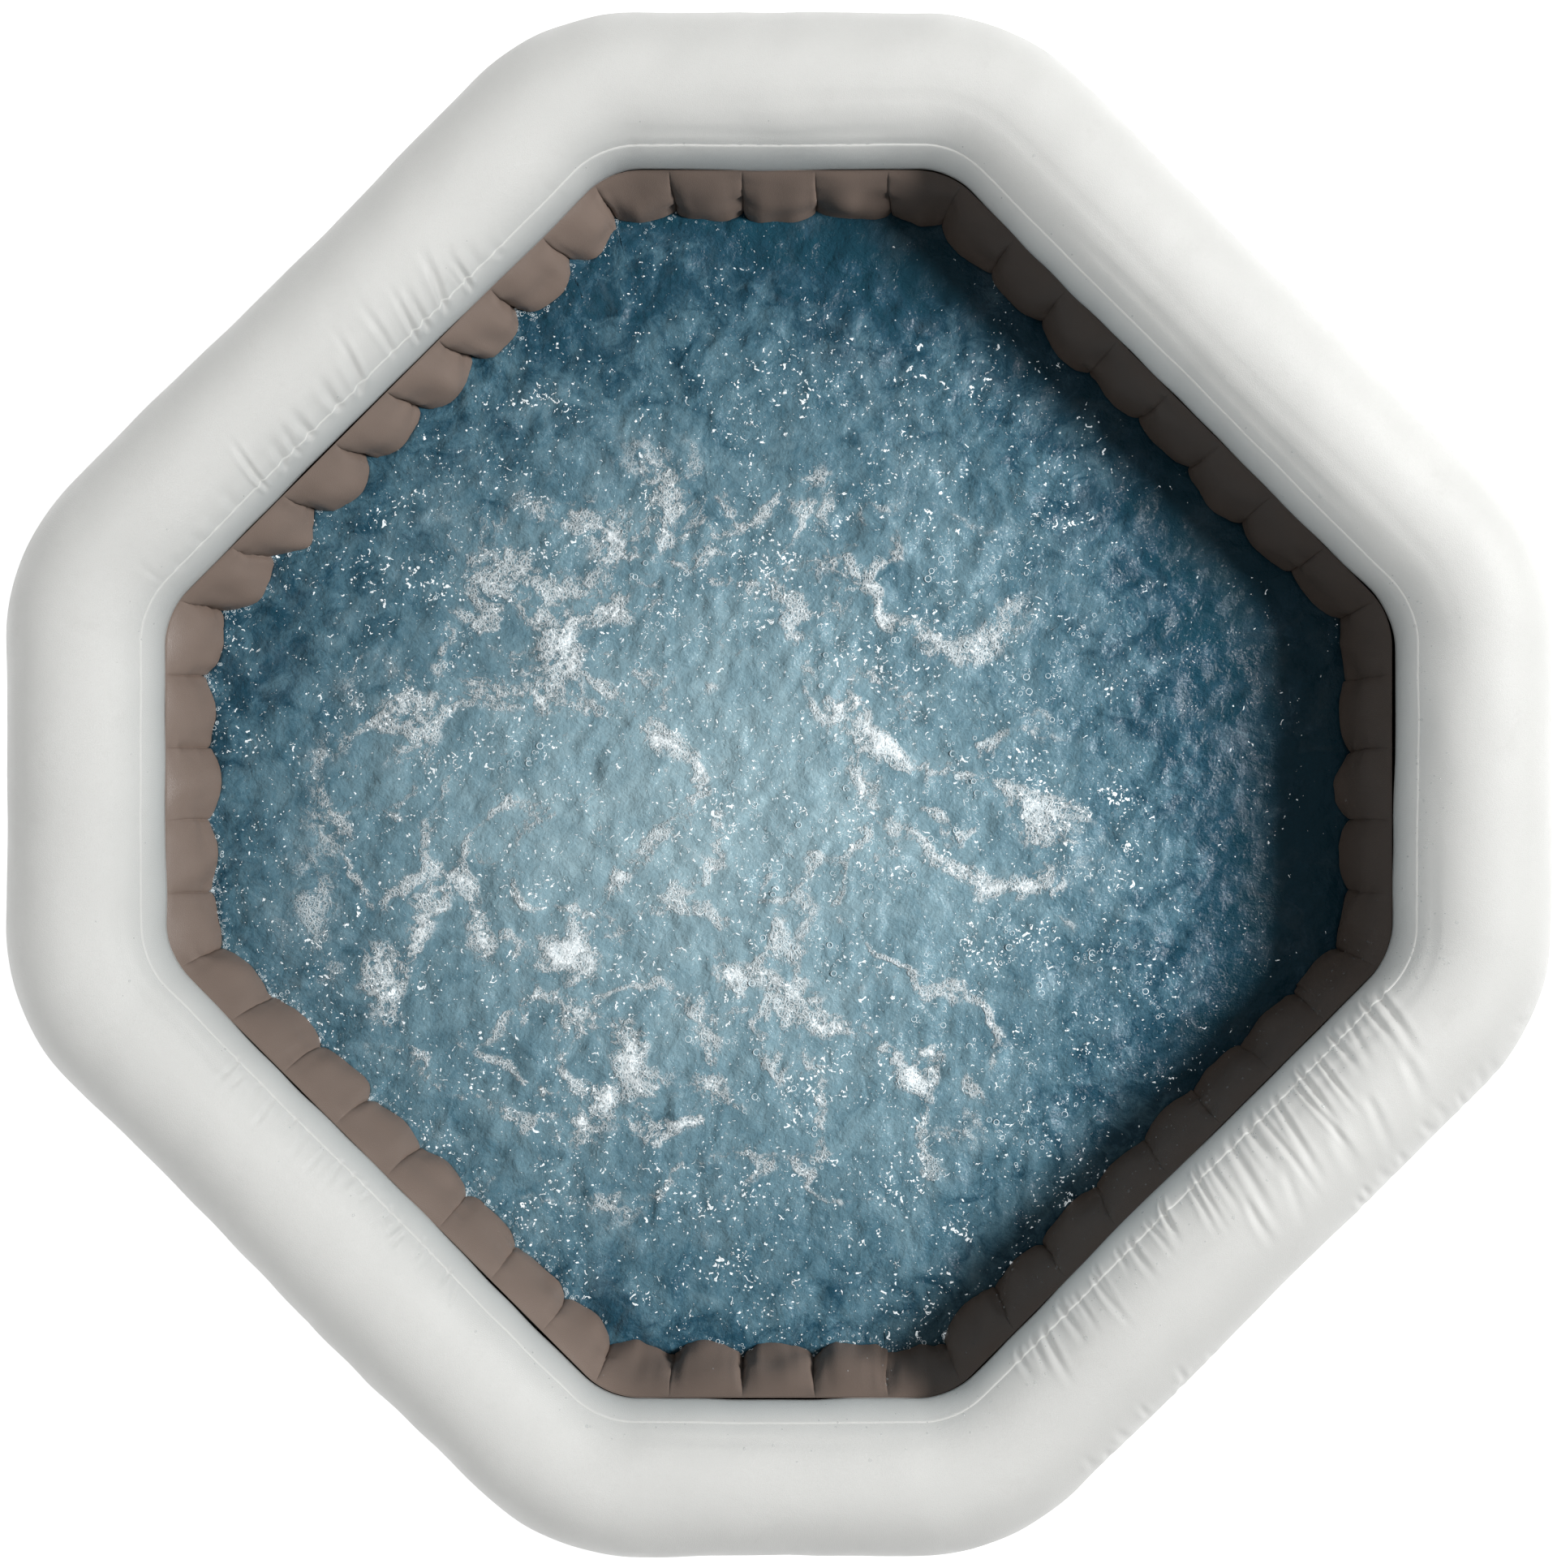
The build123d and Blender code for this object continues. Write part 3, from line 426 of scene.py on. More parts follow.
def spa_water(name):
    """Water stirred by air jets: deep teal where it is clear, darkest towards +X +Y where the rim's shadow is
    painted in as darker water, milky blue where fine air is mixed in, with torn foam streaks, clusters of
    bubbles and painted glints on its crests."""
    material, tree, shader = start_material(name, IOR=WATER_IOR, Specular_IOR_Level=0.5)
    where = places(tree)
    # How much fine air is in the water, with painted shadow in the same field: most near the middle, least
    # towards the wall at +X +Y, where the rim's shadow is painted on the water as darker, clearer water
    from_lightest_spot = vectors(tree, "MULTIPLY", vectors(tree, "ADD", where, (0.10, 0.085, 0.0)), (1, 1, 0))
    radius = add(tree, "ShaderNodeVectorMath", {0: from_lightest_spot}, operation="LENGTH").outputs["Value"]
    slow = remap(tree, noise(tree, where, 0.42, 3.0, 0.55, 0.6), 0.3, 0.7, -0.10, 0.10)
    air = maths(tree, "ADD", remap(tree, radius, 0.0, 0.9, 1.0, 0.0), slow)
    middle = remap(tree, radius, 0.15, 0.72, 1.0, 0.0, smooth=True)

    links = {"Vector": where, "Scale": 1 / 0.16, "Detail": 4.0, "Roughness": 0.6}
    eddies = add(tree, "ShaderNodeTexNoise", links).outputs["Color"]
    warp = vectors(tree, "SUBTRACT", eddies, (0.5, 0.5, 0.5))
    drift = add(tree, "ShaderNodeVectorMath", {0: warp, 3: 0.11}, operation="SCALE").outputs[0]
    stirred = vectors(tree, "ADD", where, drift)
    smoke = noise(tree, stirred, 0.050, 10.0, 0.76, 0.5)
    # The colour ramp turns the air and the painted shadow into the water's colour: deep teal in the shadow at
    # +X +Y, milky blue in the middle
    milk_and_shade = maths(tree, "ADD", air, remap(tree, smoke, 0.30, 0.72, -0.20, 0.22))
    body = add(tree, "ShaderNodeValToRGB", {0: milk_and_shade})
    ramp = body.color_ramp
    ramp.elements[0].position, ramp.elements[0].color = 0.06, rgba(colours().deep_water)
    ramp.elements[1].position, ramp.elements[1].color = 0.95, rgba(colours().aerated_water)
    for position, code in ((0.18, "#2A5063"), (0.32, "#517686"), (0.60, "#7D9EAB")):
        ramp.elements.new(position).color = linear(code)

    def band(size, wide, seed):
        """Long curved lines, where rising currents meet."""
        shifted = vectors(tree, "ADD", stirred, (seed, 2 * seed, seed))
        off = maths(tree, "SUBTRACT", noise(tree, shifted, size, 2.0, 0.45, 0.4), 0.5)
        line = maths(tree, "ABSOLUTE", off)
        return remap(tree, line, 0.0, wide, 1.0, 0.0, smooth=True)

    def cells(size, wall):
        """Walls between bubbles that touch."""
        gaps = cell_distance(tree, where, size, "DISTANCE_TO_EDGE")
        return remap(tree, gaps, 0.0, wall, 1.0, 0.0, smooth=True)

    # How thick the foam lies: along the currents' lines where they are torn, and in scattered rafts
    held = remap(tree, maths(tree, "ADD", middle, slow), 0.10, 0.55, 0.12, 1.0, smooth=True)
    torn = remap(tree, noise(tree, stirred, 0.060, 7.0, 0.76), 0.42, 0.60, 0.0, 1.0, smooth=True)
    lesser = maths(tree, "MULTIPLY", band(0.21, 0.036, 3.1), 0.75)
    lines = maths(tree, "MAXIMUM", band(0.34, 0.046, 0.0), lesser)
    rafts = remap(tree, noise(tree, stirred, 0.080, 8.0, 0.78), 0.58, 0.73, 0.0, 0.75, smooth=True)
    cover = maths(tree, "MAXIMUM", maths(tree, "MULTIPLY", lines, torn), rafts)
    cover = maths(tree, "MULTIPLY", cover, held)

    # Thin foam is lacy, thick foam is nearly solid, and all of it veils the water below
    lace = maths(tree, "MAXIMUM", cells(0.0085, 0.17), maths(tree, "MULTIPLY", cells(0.0042, 0.30), 0.8))
    thin = maths(tree, "MULTIPLY", remap(tree, cover, 0.08, 0.45, 0.0, 0.85, smooth=True), lace)
    thick = remap(tree, cover, 0.55, 1.0, 0.0, 0.95, smooth=True)
    thick = maths(tree, "MULTIPLY", thick, remap(tree, lace, 0.0, 0.6, 0.55, 1.0))
    veil = maths(tree, "MULTIPLY", cover, 0.26)
    foam = maths(tree, "MAXIMUM", maths(tree, "MAXIMUM", thin, thick), veil)

    # Painted glints: small white specks stand for light glinting on the wavelets and for tiny bubbles, in
    # drifts everywhere and thickest on the foam
    drifts = remap(tree, noise(tree, where, 0.085, 5.0, 0.68, 0.5), 0.36, 0.68, 0.0, 1.0)
    crowd = maths(tree, "MAXIMUM", maths(tree, "MULTIPLY", drifts, 0.8), cover)
    # Fewer glints where the water is clear and where the rim's shadow is painted on it
    calm_and_shaded = remap(tree, air, 0.02, 0.30, 0.09, 0.0)
    limit = maths(tree, "ADD", remap(tree, crowd, 0.0, 1.0, 0.735, 0.572), calm_and_shaded)

    def specks(size, gain, warp):
        over = maths(tree, "SUBTRACT", noise(tree, where, size, 2.0, 0.55, warp), limit)
        return remap(tree, over, 0.0, 0.035, 0.0, gain, smooth=True)

    glints = maths(tree, "MAXIMUM", specks(0.0058, 1.0, 0.0), specks(0.0100, 0.9, 1.2))
    white = maths(tree, "MAXIMUM", foam, glints)
    feed(shader, "Base Color", blend_colours(tree, white, body.outputs["Color"], linear("#EDF4F6")))
    feed(shader, "Emission Color", linear_tint(tree))
    # Painted light: the glints and the thick foam give off a little light of their own, standing for light
    # glinting off the crests and scattered inside the foam
    sparkle = maths(tree, "MULTIPLY", glints, 0.40)
    glow = maths(tree, "MAXIMUM", sparkle, maths(tree, "MULTIPLY", thick, 0.22))
    feed(shader, "Emission Strength", glow)

    chop = noise(tree, where, 0.030, 6.0, 0.62, 0.2)
    ripple = noise(tree, where, 0.008, 4.0, 0.6, 0.5)
    raised = bump(tree, maths(tree, "ADD", foam, glints), 0.0025, 0.7)
    broad = bump(tree, chop, 0.0050, 1.0, raised)
    feed(shader, "Normal", bump(tree, ripple, 0.0016, 1.0, broad))
    feed(shader, "Roughness", remap(tree, white, 0.0, 0.5, 0.09, 0.45))
    return material


def linear_tint(tree):
    """The cool white of the painted glow that foam, glints and bubble rings give off."""
    return add(tree, "ShaderNodeCombineColor", {0: 0.90, 1: 0.97, 2: 1.0}).outputs[0]


# Points on the octagon


def base_path(inset):
    """Length of each stretch of a quarter of the outline at an inset, and the radius of its corners."""
    radius = form().corner_radius - inset
    cut = form().corner_radius * tan(pi / 8)
    return SHORT_SIDE / 2 - cut, LONG_SIDE - 2 * cut, radius


def path_length(inset):
    half_short, long_run, radius = base_path(inset)
    return 4 * (2 * half_short + long_run + radius * pi / 2)


def walk(distance, inset):
    """Points and outward directions that far round the outline from the middle of the +X side."""
    half_short, long_run, radius = base_path(inset)
    bend = radius * pi / 4
    quarter = 2 * half_short + long_run + 2 * bend
    distance = np.asarray(distance, float) % (4 * quarter)
    quadrant = np.floor(distance / quarter)
    left = distance - quadrant * quarter
    x = np.full_like(left, HALF - inset)
    y = np.zeros_like(left)
    heading = np.full_like(left, pi / 2)
    for run, bent in ((half_short, bend), (long_run, bend), (half_short, 0.0)):
        step = np.clip(left, 0, run)
        x, y = x + step * np.cos(heading), y + step * np.sin(heading)
        left = left - step
        step = np.clip(left, 0, bent)
        turned = heading + step / radius
        x = x + radius * (np.sin(turned) - np.sin(heading))
        y = y + radius * (np.cos(heading) - np.cos(turned))
        heading, left = turned, left - step
    turn = quadrant * pi / 2
    point = np.stack([x * np.cos(turn) - y * np.sin(turn), x * np.sin(turn) + y * np.cos(turn)], -1)
    heading = heading + turn
    return point, np.stack([np.sin(heading), -np.cos(heading)], -1)


def bell(value, middle, wide):
    return np.exp(-(((value - middle) / wide) ** 2))


def at_height(flat, height):
    """Points in space from points on the ground and their heights, as arrays."""
    return np.concatenate([flat, height[:, None]], 1)


def ripples(points, seed, wavelength, waves=26):
    """A smooth random field of about unit height over points in space, with waves near one length."""
    draw = np.random.default_rng(seed)
    ways = draw.normal(size=(waves, 3))
    ways /= np.linalg.norm(ways, axis=1, keepdims=True)
    stretch = TURN / wavelength * draw.uniform(0.6, 1.5, waves)
    phase = draw.uniform(0, TURN, waves)
    field = np.zeros(len(points))
    for way, rate, start in zip(ways, stretch, phase):
        field += np.sin(points @ way * rate + start)
    return field / sqrt(waves / 2)


def round_grid(name, across, along, place, closed=True):
    """A grid of faces that place() bends into shape. It takes and returns arrays: how far across and along
    each corner is, from 0 to 1, and its point. In a closed grid the seams that meet are merged."""
    mesh = bpy.data.meshes.new(name)
    shape = bmesh.new()
    bmesh.ops.create_grid(shape, x_segments=across, y_segments=along, size=0.5)
    shape.to_mesh(mesh)
    shape.free()
    flat = np.zeros(len(mesh.vertices) * 3)
    mesh.vertices.foreach_get("co", flat)
    flat = flat.reshape(-1, 3)
    mesh.vertices.foreach_set("co", place(flat[:, 0] + 0.5, flat[:, 1] + 0.5).astype(np.float32).ravel())
    if closed:
        shape = bmesh.new()
        shape.from_mesh(mesh)
        bmesh.ops.remove_doubles(shape, verts=shape.verts, dist=1e-6)
        shape.to_mesh(mesh)
        shape.free()
    return finish_mesh(name, mesh)


def finish_mesh(name, mesh):
    """Puts the mesh in the scene with its faces outwards."""
    shape = bmesh.new()
    shape.from_mesh(mesh)
    bmesh.ops.recalc_face_normals(shape, faces=shape.faces)
    for face in shape.faces:
        face.smooth = True
    shape.to_mesh(mesh)
    shape.free()
    piece = bpy.data.objects.new(name, mesh)
    bpy.context.scene.collection.objects.link(piece)
    return piece


def dress(piece, material, body="tub", stands_for=()):
    """Gives a piece its material and its body, and hides the CAD nodes that it stands for."""
    piece.data.materials.clear()
    piece.data.materials.append(material)
    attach(piece, body)
    if stands_for:
        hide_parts(*stands_for)
    return piece


def solidify(piece, thickness, offset=-1.0):
    """Turns an open skin into a closed one of that thickness."""
    bpy.context.view_layer.objects.active = piece
    made = piece.modifiers.new("thickness", "SOLIDIFY")
    made.thickness = thickness
    made.offset = offset
    made.use_even_offset = False
    depsgraph = bpy.context.evaluated_depsgraph_get()
    solid = bpy.data.meshes.new_from_object(piece.evaluated_get(depsgraph))
    piece.modifiers.clear()
    piece.data = solid
    return piece


# The rim, its creases and its inner tape

TAPE_START = 150  # where the inner tape starts round the rim's section, in degrees; the top is at 90


def side_middle(side):
    """How far round the rim's path a side's middle is. Sides are numbered from +X, every 45 degrees."""
    return side / 8 * path_length(form().rim_radius)


def rim_creases():
    """Every crease of the rim: place along it, section angles it runs between, width, depth and slant."""
    draw = np.random.default_rng(11)
    found = []

    def group(side, start, stop, count, angles, lengths, widths, depths, slant=0.0):
        spots = np.linspace(start, stop, count) + draw.uniform(-0.4, 0.4, count) * (stop - start) / count
        for spot in spots:
            first = radians(draw.uniform(*angles))
            last = first - radians(draw.uniform(*lengths))
            found.append(
                (
                    side_middle(side) + spot,
                    first,
                    last,
                    draw.uniform(*widths),
                    draw.uniform(*depths),
                    slant + draw.normal(0, 0.05),
                )
            )

    # side 3 faces -X +Y, 5 faces -X -Y, 7 faces +X -Y and 1 faces +X +Y
    group(3, -0.16, 0.20, 12, (158, 170), (38, 66), (0.0030, 0.0052), (0.0018, 0.0042), -0.24)
    group(3, -0.22, -0.16, 3, (150, 165), (20, 30), (0.0030, 0.0050), (0.0010, 0.0016), -0.2)
    group(3, 0.20, 0.38, 6, (146, 164), (18, 34), (0.0035, 0.006), (0.0006, 0.0013), -0.2)
    group(5, -0.24, 0.16, 19, (146, 160), (18, 40), (0.0020, 0.0040), (0.0009, 0.0021), 0.20)
    group(5, -0.34, 0.30, 10, (40, 60), (10, 30), (0.004, 0.007), (0.0005, 0.0012), 0.0)
    group(7, -0.02, 0.36, 15, (158, 172), (46, 112), (0.0026, 0.0048), (0.0020, 0.0044), -0.24)
    group(7, 0.06, 0.30, 5, (100, 120), (40, 56), (0.0040, 0.0065), (0.0012, 0.0024), -0.30)
    group(7, -0.30, -0.04, 11, (158, 172), (26, 66), (0.0024, 0.0045), (0.0014, 0.0030), -0.16)
    group(7, 0.14, 0.42, 10, (44, 64), (28, 46), (0.003, 0.005), (0.0011, 0.0022), 0.1)
    group(7, -0.34, -0.12, 7, (40, 60), (26, 42), (0.0028, 0.0045), (0.0011, 0.0021), -0.1)
    group(1, -0.30, 0.30, 14, (136, 156), (10, 26), (0.003, 0.006), (0.0004, 0.0009), 0.0)
    group(0, -0.16, 0.16, 6, (140, 160), (10, 26), (0.003, 0.006), (0.0003, 0.0008), 0.1)
    return found


def rim_surface(distance, angle, lift=0.0):
    """Points of the rim's skin: round its section, with its slackness, long folds and creases."""
    path = form().rim_radius
    length = path_length(path)
    middle, outward = walk(distance, path)
    flat = at_height(middle, np.zeros(len(middle)))
    section = np.stack([np.cos(angle), np.sin(angle)], -1)
    spots = flat + at_height(outward * section[:, :1] * path, section[:, 1] * path)
    swell = 0.0011 * ripples(spots, 3, 0.42) + 0.0004 * ripples(spots, 4, 0.09)

    # Long shallow folds run round the rim: two on its inner half and a fainter one on its outer half
    folds = ((2.02, 0.050, 0.0011, 5), (2.36, 0.040, 0.0013, 6), (0.95, 0.06, 0.0008, 7))
    for about, wide, deep, seed in folds:
        wander = about + 0.035 * ripples(flat, seed, 0.5)
        there = np.clip(0.5 + 0.6 * ripples(flat, seed + 10, 0.8), 0, 1)
        swell -= deep * there * bell(angle, wander, wide)

    for place, first, last, width, depth, slant in rim_creases():
        across = (distance - place + length / 2) % length - length / 2
        close = np.abs(across) < 0.05
        if not close.any():
            continue
        run = (first - angle[close]) / (first - last)
        along = across[close] - slant * path * (first - angle[close])
        along += 0.0012 * np.sin(run * 5 + place * 90)
        fade = np.clip(run * 5, 0, 1) * np.clip((1 - run) * 1.6, 0, 1)
        fade = fade * fade * (3 - 2 * fade)
        wide = width * (1.0 + 0.5 * run)
        valley = np.exp(-((along / wide) ** 2))
        shoulders = bell(along, 1.9 * wide, wide) + bell(along, -1.9 * wide, wide)
        swell[close] += depth * fade * (0.55 * shoulders - valley)

    # The skin is drawn in along the weld at its inner seam
    weld = radians(TAPE_START)
    round_tub = distance / length * 8 % 8
    pulled = 0.10 + bell(round_tub, 2, 0.45) + 0.8 * bell(round_tub, 7, 0.5)
    dashes = 1 + 0.35 * np.sin(distance * TURN / 0.011)
    swell -= 0.0006 * pulled * dashes * bell(angle, weld, 0.018)
    lifted = path + swell + lift
    height = np.maximum(RIM_TOP - path + section[:, 1] * lifted, WALL_TOP - 2 * MM)
    return at_height(middle + outward * section[:, :1] * lifted[:, None], height)


def crowded(share):
    """Moves grid lines along the rim to the three creased sides, where a crease needs several of them."""
    knots = np.linspace(0, 1, 801)
    need = np.ones(len(knots))
    for side in (3, 5, 7):
        off = np.abs((knots - side / 8 + 0.5) % 1 - 0.5)
        need += 2.6 * np.clip(1.6 - off / 0.055, 0, 1)
    total = np.concatenate([[0], np.cumsum((need[1:] + need[:-1]) / 2)])
    return np.interp(share, total / total[-1], knots)


class TUB_OT_rim(bpy.types.Operator):
    """Inflated rim with its creases, and the weld tape along its inner edge"""

    bl_idname = "tub.rim"
    bl_label = "Rim"

    def execute(self, context):
        sheet = laminated_pvc("pale_laminated_pvc", colours().rim, 0.44, 0.00012, 0.030)
        length = path_length(form().rim_radius)

        def whole(u, v):
            # Lines are closest on the inner upper quarter of the section
            angle = TURN * (v - 0.055 * np.sin(TURN * (v - 0.375)))
            return rim_surface(crowded(u) * length, angle)

        rim = round_grid("rim_skin", 1480, 64, whole)
        dress(rim, sheet, stands_for=["top_rim"])

        def tape(u, v):
            angle = radians(TAPE_START) + radians(36.5) * v
            edge = np.minimum(v, 1 - v)
            lift = 0.0004 * np.clip(edge * 4, 0, 1) - 0.0002  # its edges sink into the rim's skin
            return rim_surface(crowded(u) * length, angle, lift)

        seam = round_grid("rim_inner_tape", 1400, 18, tape)
        solidify(seam, 0.0004, -1.0)
        dress(seam, sheet, stands_for=["rim_inner_seam"])
        return {"FINISHED"}


# The pleated liner

CREASE_SWELL = 0.62  # share of a pleat's swell that its creases follow


def pleat_grid(share):
    """Pleat number, place across the pleat from 0 to 1 and distance along the crease line, for a share of
    the way round. Grid lines crowd towards the creases."""
    spot = share * PLEATS + 0.5
    pleat = np.floor(spot + 1e-9)
    across = 0.5 - 0.5 * np.cos(pi * np.clip(spot - pleat, 0, 1))
    pitch = path_length(form().crease_inset) / PLEATS
    return pleat.astype(int) % PLEATS, across, (pleat + across - 0.5) * pitch


def liner_shoulder(height):
    """How far down from the rim a height is, and how full the liner's swell is there, both from 0 to 1."""
    below = np.clip((LINER_TOP - height) / 0.12, 0, 1)
    above = np.clip((height - FLOOR_TOP) / 0.06, 0, 1)
    return below, np.clip(1 - (1 - below) ** 2, 0, 1) ** 0.85 * np.sqrt(np.clip(1 - (1 - above) ** 2, 0, 1))


def liner_surface(share, height, back=0.0):
    """Points of the liner: pillows between creases, which wander, lean and pucker a little."""
    pleat, across, distance = pleat_grid(share)
    draw = np.random.default_rng(23)
    fullness = draw.uniform(0.86, 1.10, PLEATS)[pleat]
    skew = draw.normal(0, 0.05, PLEATS)[pleat]
    pitch = path_length(form().crease_inset) / PLEATS
    below, shoulder = liner_shoulder(height)

    base, _ = walk(distance, form().crease_inset)
    spots = at_height(base, height)
    wander = 0.0045 * ripples(spots, 31, 0.20) * below
    side = (share * 8 + 0.5) % 8
    leaning = bell(side, 3.5, 0.9) - 0.6 * bell(side, 7.5, 0.9)
    wander -= 0.16 * leaning * (LINER_TOP - height) * np.clip(below * 2, 0, 1)
    middle, outward = walk(distance + wander, form().crease_inset)

    tilted = np.clip(across + skew * np.sin(TURN * across) / 2, 0, 1)
    pillow = np.sin(pi * tilted) ** 0.50
    to_crease = np.minimum(across, 1 - across) * pitch
    drawn = 0.0075 * (1 - below) ** 2
    # The slacker pleats of one side are drawn in deepest at their creases
    slack = bell(side, 3.5, 0.75) + 0.35 * bell(side, 6.5, 0.35)
    crease = CREASE_SWELL * (1 - 0.95 * slack)
    fullness = fullness * (1 + 0.10 * slack)
    bulge = form().pleat_bulge * fullness * (crease + (1 - crease) * pillow) * shoulder - drawn

    # Puckers run across the creases, and slack folds run down the pillows of two sides
    level = np.stack([base[:, 0] * 0.30, base[:, 1] * 0.30, height], -1)
    pucker = ripples(level, 33, 0.019) * np.exp(-to_crease / 0.013)
    upright = np.stack([base[:, 0], base[:, 1], height * 0.10], -1)
    folded = bell(side, 6.6, 0.45) + 0.5 * bell(side, 5.3, 0.3)
    folded += 0.35 + 0.9 * slack
    folds = ripples(upright, 35, 0.017) * np.exp(-to_crease / 0.020) * folded
    soft = ripples(spots, 37, 0.07)
    bulge += (0.0026 * pucker + 0.0018 * folds + 0.0022 * soft * pillow) * shoulder
    bulge -= back
    return at_height(middle - outward * bulge[:, None], height)


class TUB_OT_liner(bpy.types.Operator):
    """Pleated liner, which stands up from the floor to the rim"""

    bl_idname = "tub.liner"
    bl_label = "Liner"

    def execute(self, context):
        sheet = laminated_pvc("taupe_laminated_pvc", colours().liner, 0.46, 0.00012, 0.055, "#6E655C")

        def wall(u, v):
            # Rows are closest in the upper fifth, which stands out of the water
            height = FLOOR_TOP + (LINER_TOP + 0.001 - FLOOR_TOP) * (1 - (1 - v) ** 1.9)
            return liner_surface(u, height)

        liner = round_grid("liner", PLEATS * 22, 38, wall)
        solidify(liner, 0.0009, 1.0)
        dress(liner, sheet, stands_for=["inner_wall"])
        return {"FINISHED"}


# Level pieces that fill the octagon


def level_grid(name, lines, edge, height):
    """A square grid spread over a rounded outline. edge() gives the outline's points from shares of the way
    round, and a smoother outline that the lines further in follow. height() gives the grid's height."""

    def spread(u, v):
        a, b = 2 * u - 1, 2 * v - 1
        ring = np.maximum(np.abs(a), np.abs(b))
        safe = np.where(ring > 0, ring, 1)
        p, q = a / safe, b / safe
        on_right = (p >= np.abs(q)) & (p > 0)
        on_top = (q > np.abs(p)) & (q > 0)
        on_left = (-p >= np.abs(q)) & (p < 0) & ~on_top
        share = np.where(on_left, (4 - q) / 8, (6 + p) / 8)
        share = np.where(on_right, q / 8, np.where(on_top, (2 - p) / 8, share))
        rim_points, inner_points = edge(share % 1)
        mix = (ring**10)[:, None]
        flat = ring[:, None] * (inner_points * (1 - mix) + rim_points * mix)
        return at_height(flat, height(flat))

    return round_grid(name, lines, lines, spread, False)


def plain_edge(inset):
    def edge(share):
        points, _ = walk(share * path_length(inset), inset)
        return points, points

    return edge


def pleated_edge(height, back):
    """The liner's outline at a height, moved back into the liner, or out of it where back is negative."""

    def edge(share):
        close = liner_surface(share, np.full(len(share), height), back)[:, :2]
        _, _, distance = pleat_grid(share)
        middle, outward = walk(distance, form().crease_inset)
        return close, middle - outward * form().pleat_bulge

    return edge


def close_below(piece, bottom):
    """Closes a level sheet into a body that reaches down to a height."""
    shape = bmesh.new()
    shape.from_mesh(piece.data)
    rim = [e for e in shape.edges if e.is_boundary]
    made = bmesh.ops.extrude_edge_only(shape, edges=rim)
    lower = [g for g in made["geom"] if isinstance(g, bmesh.types.BMVert)]
    for corner in lower:
        corner.co.z = bottom
    ring = [e for e in made["geom"] if isinstance(e, bmesh.types.BMEdge) and e.is_boundary]
    bmesh.ops.contextual_create(shape, geom=ring)
    bmesh.ops.recalc_face_normals(shape, faces=shape.faces)
    shape.to_mesh(piece.data)
    shape.free()


def water_height(flat):
    """Chop that the air jets throw up, in metres above the ground."""
    spots = at_height(flat, np.zeros(len(flat)))
    tall = form().wave_height
    swell = 0.5 * ripples(spots, 41, 0.16) + 0.45 * ripples(spots, 42, 0.065)
    swell = swell + 0.28 * ripples(spots, 43, 0.030)
    crest = np.clip(ripples(spots, 44, 0.042), 0, 1.3) ** 2
    return form().water_level + tall * (0.6 * swell + 0.35 * crest)


class TUB_OT_water(bpy.types.Operator):
    """Water with its chop, foam, floating bubbles and splashed drops"""

    bl_idname = "tub.water"
    bl_label = "Water"

    def execute(self, context):
        level = form().water_level
        surface = level_grid("water", 236, pleated_edge(level, 0.0035), water_height)
        close_below(surface, FLOOR_TOP + 0.026)
        dress(surface, spa_water("aerated_water"))

        bubbles = float_bubbles(form().bubble_count)
        dress(bubbles, bubble_film("bubble_film"))
        clear = clear_drop("water_drop")
        dress(rim_drops(form().droplet_count), clear)
        dress(liner_drops(form().droplet_count // 2), clear)
        return {"FINISHED"}


def copies(name, one, where):
    """Many copies of a small shape in one piece, each from a matrix that places and shapes it."""
    corners, outline = one
    turned = np.array([[list(row) for row in matrix] for matrix in where])
    points = np.einsum("nij,kj->nki", turned[:, :3, :3], corners) + turned[:, None, :3, 3]
    faces = [[k + n * len(corners) for k in face] for n in range(len(where)) for face in outline]
    mesh = bpy.data.meshes.new(name)
    mesh.from_pydata(points.reshape(-1, 3).tolist(), [], faces)
    return finish_mesh(name, mesh)


def frame_matrix(point, normal, across, size):
    """A matrix that stands a unit ball on a surface: size gives its two widths and its height."""
    up = Vector(normal).normalized()
    side = Vector(across) - up * up.dot(Vector(across))
    side = side.normalized() if side.length > 1e-6 else up.orthogonal().normalized()
    other = up.cross(side)
    columns = [side * size[0], other * size[1], up * size[2]]
    made = Matrix.Identity(4)
    for i in range(3):
        for j in range(3):
            made[i][j] = columns[j][i]
        made[i][3] = point[i]
    return made


def bubble_ring():
    """One bubble's bright foot ring with a radius of 1, as points and faces."""
    shape = bmesh.new()
    lift = Matrix.Translation((1, 0, 0)) @ Matrix.Rotation(pi / 2, 4, "X")
    made = bmesh.ops.create_circle(shape, cap_ends=False, segments=4, radius=0.16, matrix=lift)
    bmesh.ops.spin(
        shape,
        geom=made["verts"] + list({e for v in made["verts"] for e in v.link_edges}),
        cent=(0, 0, 0),
        axis=(0, 0, 1),
        dvec=(0, 0, 0),
        angle=TURN,
        steps=9,
        use_merge=True,
    )
    bmesh.ops.remove_doubles(shape, verts=shape.verts, dist=1e-5)
    return read_shape(shape)


def small_ball():
    shape = bmesh.new()
    bmesh.ops.create_uvsphere(shape, u_segments=8, v_segments=5, radius=1.0)
    return read_shape(shape)


def read_shape(shape):
    """Points and faces of a bmesh, which is then freed."""
    shape.verts.index_update()
    points = np.array([corner.co for corner in shape.verts])
    faces = [[corner.index for corner in face.verts] for face in shape.faces]
    shape.free()
    return points, faces


